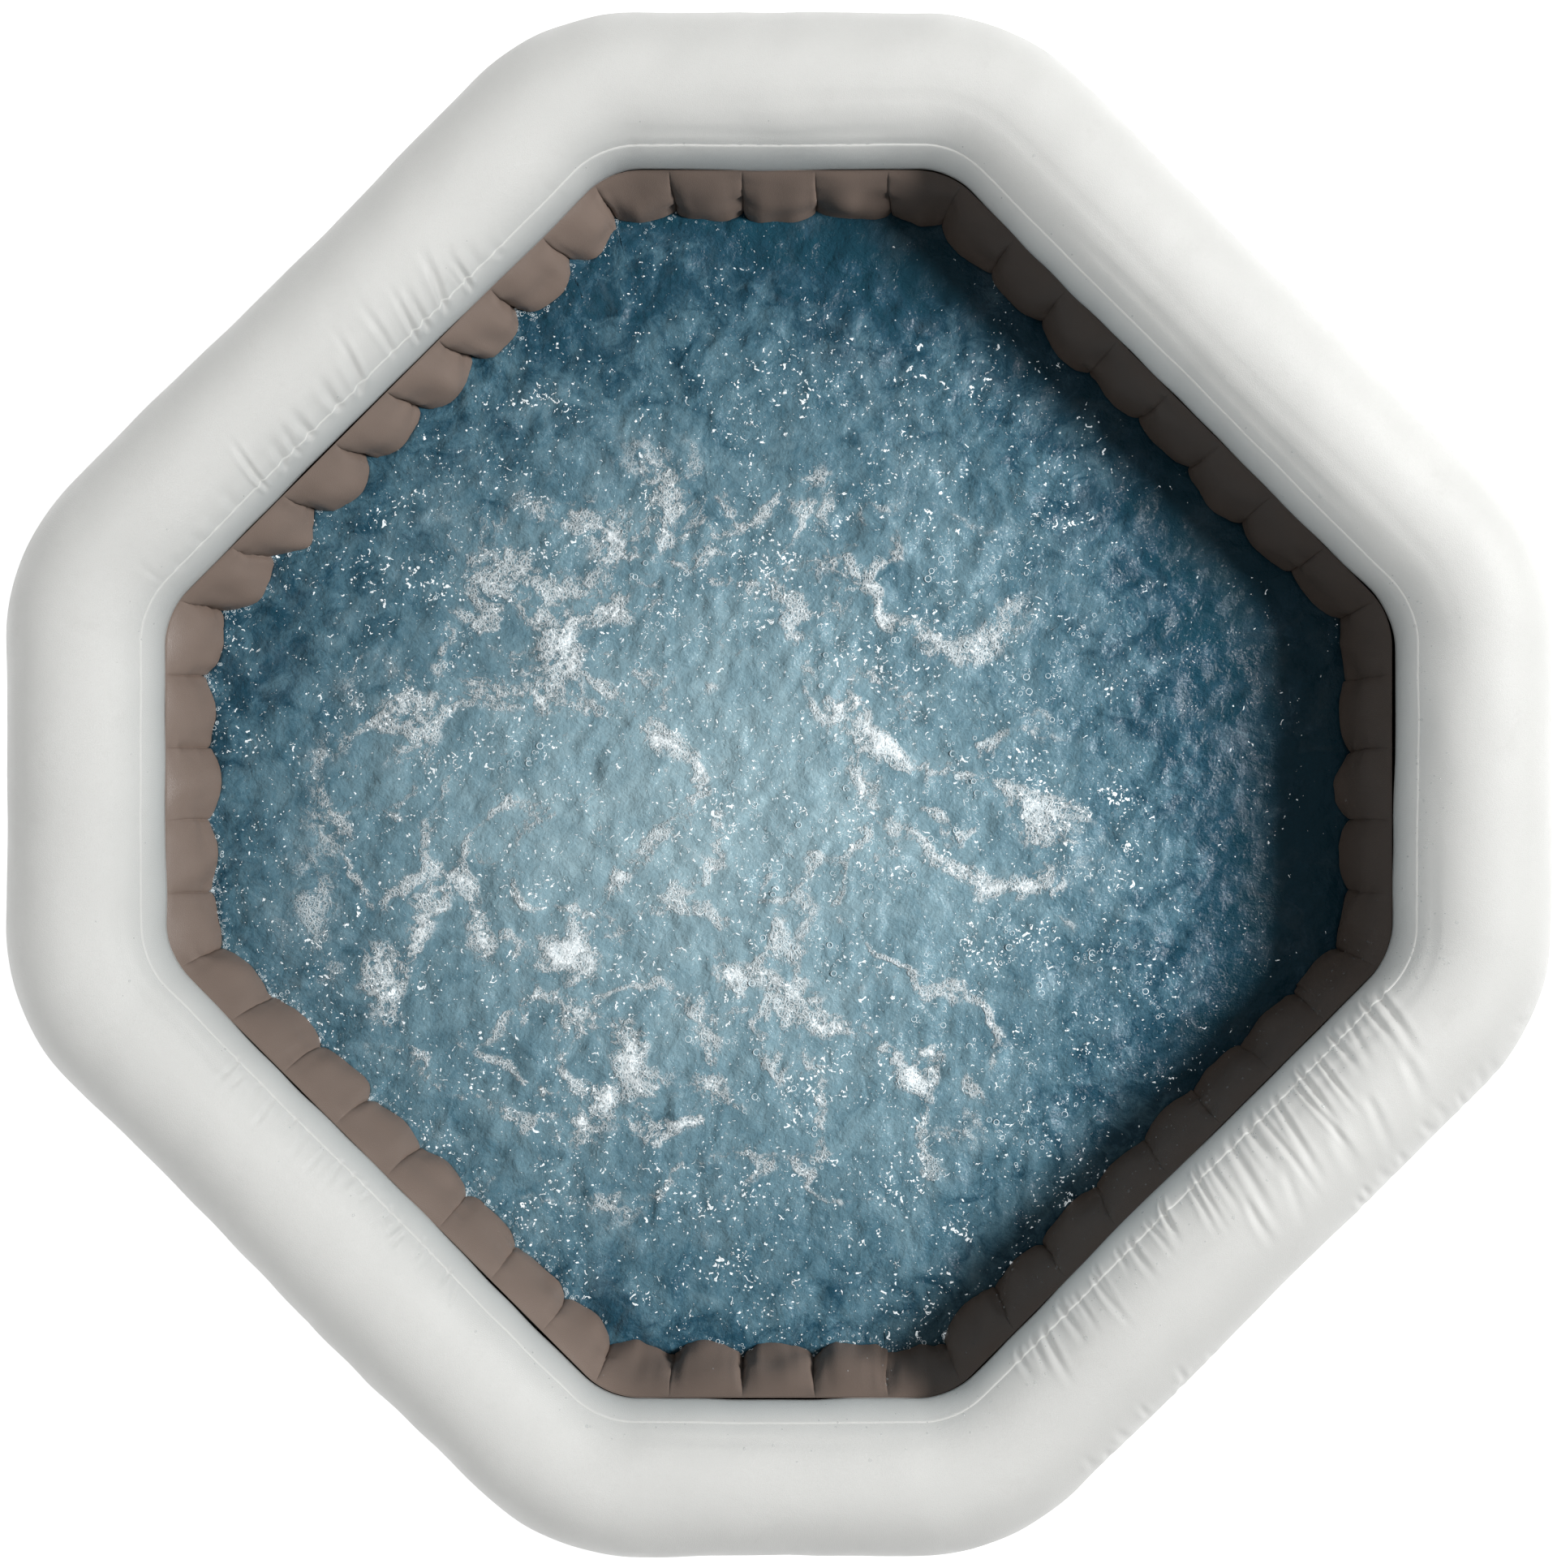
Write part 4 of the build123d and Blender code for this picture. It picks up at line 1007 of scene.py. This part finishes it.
def float_bubbles(count):
    """Single bubbles that float in strings and rafts, most of them in the middle, and along the liner."""
    draw = np.random.default_rng(53)
    spots = []
    while len(spots) < count:
        middle = draw.normal((0.06, -0.06), (0.30, 0.27))
        heading = draw.uniform(0, TURN)
        curl = draw.normal(0, 12)
        spot = np.array(middle)
        for _ in range(int(draw.uniform(8, 46))):
            spot = spot + np.array([cos(heading), sin(heading)]) * draw.uniform(0.003, 0.010)
            heading += curl * 0.006 + draw.normal(0, 0.35)
            spots.append(spot + draw.normal(0, 0.005, 2))
    spots = np.array(spots[:count])
    spots = spots[np.abs(spots).sum(1) < 0.86]
    rafts, in_raft = 60, 14
    by_liner = rafts * in_raft
    share = np.repeat(draw.normal(0.58, 0.13, rafts), in_raft) + draw.normal(0, 0.006, by_liner)
    edge = liner_surface(share % 1, np.full(by_liner, form().water_level))[:, :2]
    edge *= 1 - draw.exponential(0.006, by_liner)[:, None] - 0.002
    spots = np.concatenate([spots, edge])
    sizes = np.clip(np.exp(draw.normal(-6.35, 0.42, len(spots))), 0.0008, 0.0044)
    sizes[-by_liner:] *= 0.62
    return copies(
        "floating_bubbles",
        bubble_ring(),
        [
            frame_matrix((x, y, z), (0, 0, 1), (1, 0, 0), (r, r, r))
            for (x, y), z, r in zip(spots, water_height(spots), sizes)
        ],
    )


def rim_drops(count):
    """Drops on the rim: most lie on the +X and +X -Y sides, beside the water."""
    draw = np.random.default_rng(61)
    length = path_length(form().rim_radius)
    near = draw.uniform(size=count) < 0.72
    share = np.where(near, draw.normal(0.905, 0.075, count), draw.uniform(0, 1, count)) % 1
    angle = np.clip(np.radians(draw.normal(150, 17, count)), radians(70), radians(174))
    points = rim_surface(share * length, angle)
    _, outward = walk(share * length, form().rim_radius)
    where = []
    for point, way, turn in zip(points, outward, angle):
        r = float(np.clip(np.exp(draw.normal(-6.75, 0.35)), 0.0007, 0.0026))
        normal = (way[0] * cos(turn), way[1] * cos(turn), sin(turn))
        where.append(frame_matrix(point, normal, (0, 0, 1), (r * draw.uniform(1, 1.3), r, 0.42 * r)))
    return copies("rim_drops", small_ball(), where)


def liner_drops(count):
    """Drops on the liner above the water, on the sides that the rim's drops are on."""
    draw = np.random.default_rng(67)
    share = draw.normal(0.885, 0.06, count) % 1
    height = draw.uniform(form().water_level + 0.012, LINER_TOP - 0.012, count)
    points = liner_surface(share, height)
    lower = liner_surface(share, height - 0.003)
    _, _, distance = pleat_grid(share)
    _, outward = walk(distance, form().crease_inset)
    where = []
    for point, down, way in zip(points, lower, outward):
        r = float(np.clip(np.exp(draw.normal(-6.8, 0.3)), 0.0006, 0.0022))
        slope = Vector(point) - Vector(down)
        inward = Vector((-way[0], -way[1], 0))
        normal = inward - slope * (inward.dot(slope) / slope.length_squared)
        where.append(frame_matrix(point, normal, slope, (1.2 * r, r, 0.45 * r)))
    return copies("liner_drops", small_ball(), where)


# Outer wall, base and the parts inside the walls


PORT_HEIGHT = 0.200
AIR_HEIGHT = 0.420
VALVE_HEIGHT = 0.430
DRAIN_HEIGHT = 0.062
HANDLE_HEIGHT = 0.292


def wall_marks():
    """Places where something is welded or bolted to the outer wall: side, along, height and radius."""
    pitch = path_length(form().crease_inset) / PLEATS
    found = [
        (7, -1.5 * pitch, PORT_HEIGHT, 0.052),
        (7, 1.5 * pitch, PORT_HEIGHT, 0.052),
        (7, -0.5 * pitch, AIR_HEIGHT, 0.036),
        (7, 0.5 * pitch, VALVE_HEIGHT, 0.050),
        (5, 0.5 * pitch, DRAIN_HEIGHT, 0.036),
    ]
    for side in (1, 3, 5, 7):
        found += [(side, 0.0, HANDLE_HEIGHT, 0.105)]
    for side in (0, 2, 4, 6):
        found += [(side, 0.0, WALL_TOP - 0.052, 0.040)]
    return found


def wall_surface(share, height, lift=0.0):
    """Points of the outer wall: shallow upright pillows between the beams, flat under its fittings."""
    _, across, distance = pleat_grid(share)
    middle, outward = walk(distance, form().crease_inset)
    out = form().crease_inset - form().wall_inset
    flat = middle + outward * out
    edges = np.clip((WALL_TOP - height) / 0.035, 0, 1) * np.clip((height - 0.030) / 0.05, 0, 1)
    still = np.ones(len(share))
    for side, along, up, radius in wall_marks():
        turn = side * pi / 4
        reach_out = (HALF if side % 2 == 0 else DIAGONAL) - form().wall_inset
        x = cos(turn) * reach_out - sin(turn) * along
        y = sin(turn) * reach_out + cos(turn) * along
        spot = np.array([x, y])
        off = np.sqrt(((flat - spot) ** 2).sum(1) + (height - up) ** 2)
        still *= np.clip((off - radius) / 0.05, 0, 1)
    spots = at_height(flat, height)
    pillow = np.sin(pi * across) ** 0.6
    slack = 0.5 + 0.5 * ripples(spots, 71, 0.11) / 1.6
    level = np.stack([flat[:, 0] * 0.3, flat[:, 1] * 0.3, height], -1)
    puckers = np.clip(ripples(level, 72, 0.022), 0, None) * np.exp(-np.minimum(across, 1 - across) / 0.10)
    depth = (0.0065 * (1 - pillow) + 0.0012 * slack + 0.0007 * puckers) * edges * still + 0.0001
    away = out - depth + lift
    return at_height(middle + outward * away[:, None], height)


class TUB_OT_outer_wall(bpy.types.Operator):
    """Outer wall with its shallow pillows, and the tapes along its top and its foot"""

    bl_idname = "tub.outer_wall"
    bl_label = "Outer wall"

    def execute(self, context):
        sheet = laminated_pvc("taupe_wall_pvc", colours().wall, 0.50, 0.00008, 0.045, "#7A7066")
        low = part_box("outer_wall")[0].z

        def wall(u, v):
            return wall_surface(u, low + (WALL_TOP - low) * v)

        around = PLEATS * 16
        skin = round_grid("outer_skin", around, 44, wall)
        solidify(skin, 0.0008, -1.0)
        dress(skin, sheet, stands_for=["outer_wall"])

        for name, node, material, slot in (
            ("rim_outer_tape", "rim_outer_seam", bpy.data.materials["pale_laminated_pvc"], "rim_pvc"),
            ("foot_band", "base_band", scuff_band("scuffed_base_pvc"), "base_pvc"),
        ):
            foot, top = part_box(node)[0].z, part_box(node)[1].z

            def tape(u, v, foot=foot, top=top):
                edge = np.clip(np.minimum(v, 1 - v) * 10, 0.12, 1)
                return wall_surface(u, foot + (top - foot) * v, 0.0010 * edge)

            band = round_grid(name, around, 10, tape)
            solidify(band, 0.0006, -1.0)
            dress(band, material, stands_for=[node])
        return {"FINISHED"}


def scuff_band(name):
    """Hard-wearing embossed base sheet: dark, matt, with a raised diamond grip and paler scuffs."""
    material, tree, shader = start_material(name, IOR=1.52, Specular_IOR_Level=0.35)
    where = places(tree)
    scuffs = remap(tree, noise(tree, where, 0.05, 7.0, 0.72, 1.2), 0.52, 0.70, 0.0, 0.35)
    feed(shader, "Base Color", blend_colours(tree, scuffs, linear("#3B3734"), linear("#6A645E")))
    turned = add(tree, "ShaderNodeMapping", {0: where, 2: (0, 0, pi / 4)}).outputs[0]
    grip = cell_distance(tree, turned, 0.006, "F1", 0.0)
    raised = bump(tree, remap(tree, grip, 0.25, 0.45, 1.0, 0.0), 0.0004)
    feed(shader, "Normal", bump(tree, noise(tree, where, 0.0012), 0.00008, 1.0, raised))
    feed(shader, "Roughness", remap(tree, scuffs, 0.0, 0.35, 0.62, 0.8))
    return material


class TUB_OT_base(bpy.types.Operator):
    """Ground sheet, insulating pad, floor sheet and the beams inside the walls"""

    bl_idname = "tub.base"
    bl_label = "Base and beams"

    def execute(self, context):
        low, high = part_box("base_sheet")
        sheet_edge = plain_edge(form().wall_inset - 0.0012)
        under = level_grid("ground_sheet", 70, sheet_edge, lambda p: np.full(len(p), high.z - 0.0001))
        solidify(under, high.z - low.z - 0.0002, -1.0)
        dress(under, bpy.data.materials["scuffed_base_pvc"], stands_for=["base_sheet"])

        low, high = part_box("insulation_pad")

        def quilted(flat):
            waves = np.cos(flat * TURN / 0.15)
            return high.z - 0.0006 - 0.0035 * np.clip(waves[:, 0] * waves[:, 1] - 0.8, 0, 1)

        edge = pleated_edge(FLOOR_TOP + 0.002, -0.004)
        pad = level_grid("foam_pad", 120, edge, quilted)
        close_below(pad, low.z + 0.0003)
        foam = closed_cell_foam("blue_grey_foam", "#8E98A6")
        dress(pad, foam, stands_for=["insulation_pad"])

        def sagging(flat):
            spots = at_height(flat, np.zeros(len(flat)))
            return FLOOR_TOP - 0.0002 - 0.0003 * (1 + ripples(spots, 81, 0.2) / 2)

        floor = level_grid("floor_skin", 150, edge, sagging)
        solidify(floor, 0.0006, -1.0)
        sheet = bpy.data.materials["taupe_laminated_pvc"]
        dress(floor, sheet, stands_for=["floor_sheet"])
        beams = tension_beams()
        dress(
            beams,
            laminated_pvc("beam_pvc", (0.60, 0.59, 0.56), 0.5, 0.00004, 0.03),
            stands_for=["wall_beams"],
        )
        low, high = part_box("wall_beams")
        return {"FINISHED"}


def tension_beams():
    """One upright sheet from each crease of the liner to the outer wall, bowed sideways a little."""
    low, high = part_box("wall_beams")
    pitch = path_length(form().crease_inset) / PLEATS
    points, outwards = walk((np.arange(PLEATS) + 0.5) * pitch, form().crease_inset)
    last = form().crease_inset - form().wall_inset - 0.0018 - 0.0065
    shape = bmesh.new()
    for point, outward in zip(points, outwards):
        made = bmesh.ops.create_grid(shape, x_segments=8, y_segments=18, size=0.5)
        for corner in made["verts"]:
            along, up = corner.co.x + 0.5, corner.co.y + 0.5
            height = low.z + (high.z - low.z) * up
            first = 0.0022 - 0.2 * form().pleat_bulge * float(liner_shoulder(height)[1])
            out = first + (last - first) * along
            bow = 0.004 * sin(pi * along) * sin(pi * up * 3)
            x = point[0] + outward[0] * out - outward[1] * bow
            y = point[1] + outward[1] * out + outward[0] * bow
            corner.co = Vector((x, y, height))
    mesh = bpy.data.meshes.new("tension_beams")
    shape.to_mesh(mesh)
    shape.free()
    return solidify(finish_mesh("tension_beams", mesh), 0.0007, 0.0)


# Straps, spring and the moulded fittings


def wall_place(side, along, height, stand):
    """A point off the outer wall, with the directions along and out of it."""
    turn = side * pi / 4
    out = (HALF if side % 2 == 0 else DIAGONAL) - form().wall_inset + stand
    outward, tangent = Vector((cos(turn), sin(turn), 0)), Vector((-sin(turn), cos(turn), 0))
    return outward * out + tangent * along + Vector((0, 0, height)), tangent, outward


def webbing_line(count, loop=0.0027, gap=0.0006, length=0.0385):
    """The line that the strap follows, as distances out of the bar's axis and above it."""
    down = np.linspace(-length, -0.008, count)
    rise = np.linspace(-0.008, 0.0, 6)[1:]
    ease = (rise + 0.008) / 0.008
    ease = ease * ease * (3 - 2 * ease)
    bend = np.linspace(pi, 0, 11)
    straight = np.stack([np.full(count, -gap), down], 1)
    flare = np.stack([-gap - (loop - gap) * ease, rise], 1)
    back = np.concatenate([straight, flare])
    over = np.stack([loop * np.cos(bend), loop * np.sin(bend)], 1)[1:-1]
    front = back[::-1] * np.array([-1, 1])
    return np.concatenate([back, over, front])


STRAP_HALF = 0.0123  # half the strap's width
STITCH_PITCH = 0.0024


def stitch(spot, outward, way):
    """The two sides of one stitch, on the back and the front of the strap."""
    size = (0.0009, 0.00028, 0.00022)
    return [frame_matrix(spot + outward * face * 0.00112, outward, way, size) for face in (-1, 1)]


class TUB_OT_straps(bpy.types.Operator):
    """Webbing straps that carry the cover's buckles, with their stitching"""

    bl_idname = "tub.straps"
    bl_label = "Buckle straps"

    def execute(self, context):
        woven = woven_webbing("black_webbing", "#26272A")
        thread = woven_webbing("grey_thread", "#5A5B5E")
        line = webbing_line(16)
        steps = np.linalg.norm(np.diff(line, axis=0), axis=1)
        run = np.concatenate([[0], np.cumsum(steps)])
        for number, side in enumerate((0, 2, 4, 6), 1):
            node = f"buckle_webbing_{number}"
            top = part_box(node)[1].z
            origin, tangent, outward = wall_place(side, 0.0, top - 0.00375, 0.009)
            frame = np.array([list(tangent), list(outward), [0, 0, 1]])

            def strip(u, v, origin=origin, frame=frame):
                at = u * run[-1]
                out = np.interp(at, run, line[:, 0])
                up = np.interp(at, run, line[:, 1])
                wave = 0.00025 * np.sin(up * 160 + v * 2) * np.clip(-up / 0.02, 0, 1)
                local = np.stack([(2 * v - 1) * STRAP_HALF, out + wave, up], -1)
                return np.array(list(origin)) + local @ frame

            strap = round_grid(f"buckle_strap_web_{number}", 90, 14, strip, False)
            solidify(strap, 0.0009, 0.0)
            dress(strap, woven, body=f"buckle_strap_{number}", stands_for=[node])
            where = []
            for up in (-0.010, -0.018):
                for k in range(9):
                    spot = origin + tangent * ((k - 4) * STITCH_PITCH) + Vector((0, 0, up))
                    where += stitch(spot, outward, tangent)
            for up in np.arange(-0.0164, -0.010, 0.0022):
                for edge in (-4, 4):
                    spot = origin + tangent * edge * STITCH_PITCH + Vector((0, 0, up))
                    where += stitch(spot, outward, (0, 0, 1))
            stitches = copies(f"buckle_stitches_{number}", small_ball(), where)
            dress(stitches, thread, body=f"buckle_strap_{number}")
        return {"FINISHED"}


class TUB_OT_spring(bpy.types.Operator):
    """Valve spring, drawn as one fixed coil; the stem presses it together as it goes in"""

    bl_idname = "tub.spring"
    bl_label = "Valve spring"

    def execute(self, context):
        low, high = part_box("valve_spring")
        centre = (low + high) / 2
        axis = Vector((1, -1, 0)).normalized()
        across = Vector((0, 0, 1))
        long, wire, coil, turns, steps = 0.0081, 0.0004, 0.0041, 3, 96
        start = centre - axis * (long / 2)
        shape = bmesh.new()
        ring = frame_matrix(start + across * coil, axis.cross(across), across, (1, 1, 1))
        made = bmesh.ops.create_circle(shape, cap_ends=True, segments=8, radius=wire, matrix=ring)
        faces = list({f for v in made["verts"] for f in v.link_faces})
        bmesh.ops.spin(
            shape,
            geom=faces,
            cent=start,
            axis=axis,
            dvec=axis * (long / steps),
            angle=TURN * turns,
            steps=steps,
            use_merge=False,
        )
        mesh = bpy.data.meshes.new("spring_coil")
        shape.to_mesh(mesh)
        shape.free()
        spring = finish_mesh("spring_coil", mesh)
        dress(spring, spring_steel("drawn_spring_steel"), stands_for=["valve_spring"])
        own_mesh(spring)
        return {"FINISHED"}


class TUB_OT_fittings(bpy.types.Operator):
    """Finishes of the moulded fittings, seals, handles and buckles"""

    bl_idname = "tub.fittings"
    bl_label = "Fittings"

    def execute(self, context):
        grey = moulded_plastic("grey_polypropylene", "#8F9294", 0.38)
        pale = moulded_plastic("pale_soft_vinyl", "#C9C9C4", 0.42)
        black = moulded_plastic("black_acetal", "#1B1B1D", 0.40)
        rubber = soft_rubber("black_epdm", "#191919")
        weld = bpy.data.materials["taupe_wall_pvc"]
        finishes = {
            grey: "sleeve lock_nut strainer valve_insert drain_cap air_spigot valve_stem".split(),
            pale: ["collar", "valve_base", "valve_cap", "air_duct"],
            black: ["handle_bail", "buckle_socket"],
            rubber: ["gasket", "valve_seal", "drain_plug", "air_flap"],
            weld: ["handle_patches", "buckle_patches"],
            bpy.data.materials["taupe_laminated_pvc"]: ["bubble_ring"],
        }
        for name, node in FRAME["nodes"].items():
            for material, words in finishes.items():
                if any(word in name for word in words) and not node.hide_render:
                    node.data.materials.clear()
                    node.data.materials.append(material)
        return {"FINISHED"}


# Floor, light and camera

KEY_AZIMUTH = 24
REFLECTORS = 6
LENS_LENGTH = 45.55
CAMERA_RISE = 2.6  # from the rim's widest line to the camera
BASIN = ("liner", "water", "floating_bubbles", "liner_drops", "floor_skin")


def area_light(name, azimuth, height, wide, watts, far=5.0):
    """A round soft light that looks at the tub from a direction in degrees, that far away."""
    lamp = bpy.data.lights.new(name, "AREA")
    lamp.shape = "DISK"
    lamp.size = wide
    lamp.energy = watts
    light = bpy.data.objects.new(name, lamp)
    level = cos(radians(height))
    away = Vector((cos(radians(azimuth)) * level, sin(radians(azimuth)) * level, sin(radians(height))))
    light.location = away * far + Vector((0, 0, RIM_TOP))
    light.rotation_euler = away.to_track_quat("Z", "Y").to_euler()
    bpy.context.scene.collection.objects.link(light)
    return light


class TUB_OT_stage(bpy.types.Operator):
    """Pale floor, soft light from the +X side and a camera straight above the tub"""

    bl_idname = "tub.stage"
    bl_label = "Stage"

    def execute(self, context):
        scene = context.scene
        mesh = bpy.data.meshes.new("floor")
        shape = bmesh.new()
        bmesh.ops.create_circle(shape, cap_ends=True, segments=64, radius=14)
        shape.to_mesh(mesh)
        shape.free()
        floor = finish_mesh("floor", mesh)
        floor.location.z = -0.0005
        paper, tree, shader = start_material("pale_floor", Roughness=0.9, Specular_IOR_Level=0.1)
        tone = remap(tree, noise(tree, places(tree), 1.5), 0.3, 0.7, 0.90, 0.93)
        shade = add(tree, "ShaderNodeCombineColor", {0: tone, 1: tone, 2: tone}).outputs[0]
        feed(shader, "Base Color", shade)
        # The floor gives off light of its own, so that it stays pale and even under the lamps
        shader.inputs["Emission Color"].default_value = (1, 1, 1, 1)
        shader.inputs["Emission Strength"].default_value = 0.72
        floor.data.materials.append(paper)

        world = bpy.data.worlds.new("studio")
        world.use_nodes = True
        world.node_tree.nodes["Background"].inputs["Color"].default_value = (0.97, 0.99, 1.0, 1)
        world.node_tree.nodes["Background"].inputs["Strength"].default_value = 0.15
        scene.world = world

        # The pale rim and the dark basin want different light, so the key is two lamps: one for the liner
        # and the water, one for all the rest. Wide reflectors lift only the rim and the floor.
        basin, rest, pale = (bpy.data.collections.new(name) for name in ("basin", "rest", "pale"))
        for piece in scene.collection.objects:
            if piece.name in BASIN:
                basin.objects.link(piece)
            else:
                rest.objects.link(piece)
            if piece.name.startswith("rim_") or piece.name == "floor":
                pale.objects.link(piece)
        area_light("key", KEY_AZIMUTH, 37, 1.5, 118).light_linking.receiver_collection = rest
        area_light("basin_key", 3, 36, 1.3, 330).light_linking.receiver_collection = basin
        for number in range(REFLECTORS):
            azimuth = KEY_AZIMUTH + 360 // REFLECTORS * number
            lamp = area_light(f"reflector_{number + 1}", azimuth, 57, 4.5, 30)
            lamp.light_linking.receiver_collection = pale

        lens = bpy.data.cameras.new("camera")
        lens.lens = LENS_LENGTH
        lens.sensor_width = 36
        lens.clip_end = 100
        camera = bpy.data.objects.new("camera", lens)
        camera.location = (0, 0, RIM_TOP - form().rim_radius + CAMERA_RISE)
        scene.collection.objects.link(camera)
        scene.camera = camera
        scene.view_settings.view_transform = "Standard"
        return {"FINISHED"}


class TUB_PT_panel(bpy.types.Panel):
    """Lists the steps that build the tub"""

    bl_idname = "TUB_PT_panel"
    bl_label = "Hot tub"
    bl_space_type = "VIEW_3D"
    bl_region_type = "UI"
    bl_category = "Hot Tub"

    def draw(self, context):
        for group in (context.scene.tub_form, context.scene.tub_colours):
            for name in group.bl_rna.properties.keys():
                if name not in ("rna_type", "name"):
                    self.layout.prop(group, name)
        for step in STEPS:
            self.layout.operator(f"tub.{step}")


CLASSES = (
    TubForm,
    TubColours,
    TUB_OT_rim,
    TUB_OT_liner,
    TUB_OT_water,
    TUB_OT_outer_wall,
    TUB_OT_base,
    TUB_OT_straps,
    TUB_OT_spring,
    TUB_OT_fittings,
    TUB_OT_stage,
    TUB_PT_panel,
)
STEPS = ("rim", "liner", "water", "outer_wall", "base", "straps", "spring", "fittings", "stage")


def register():
    for made in CLASSES:
        bpy.utils.register_class(made)
    bpy.types.Scene.tub_form = PointerProperty(type=TubForm)
    bpy.types.Scene.tub_colours = PointerProperty(type=TubColours)


def unregister():
    del bpy.types.Scene.tub_colours
    del bpy.types.Scene.tub_form
    for made in reversed(CLASSES):
        bpy.utils.unregister_class(made)


def main():
    register()
    for step in STEPS:
        getattr(bpy.ops.tub, step)()


if __name__ == "__main__":
    main()
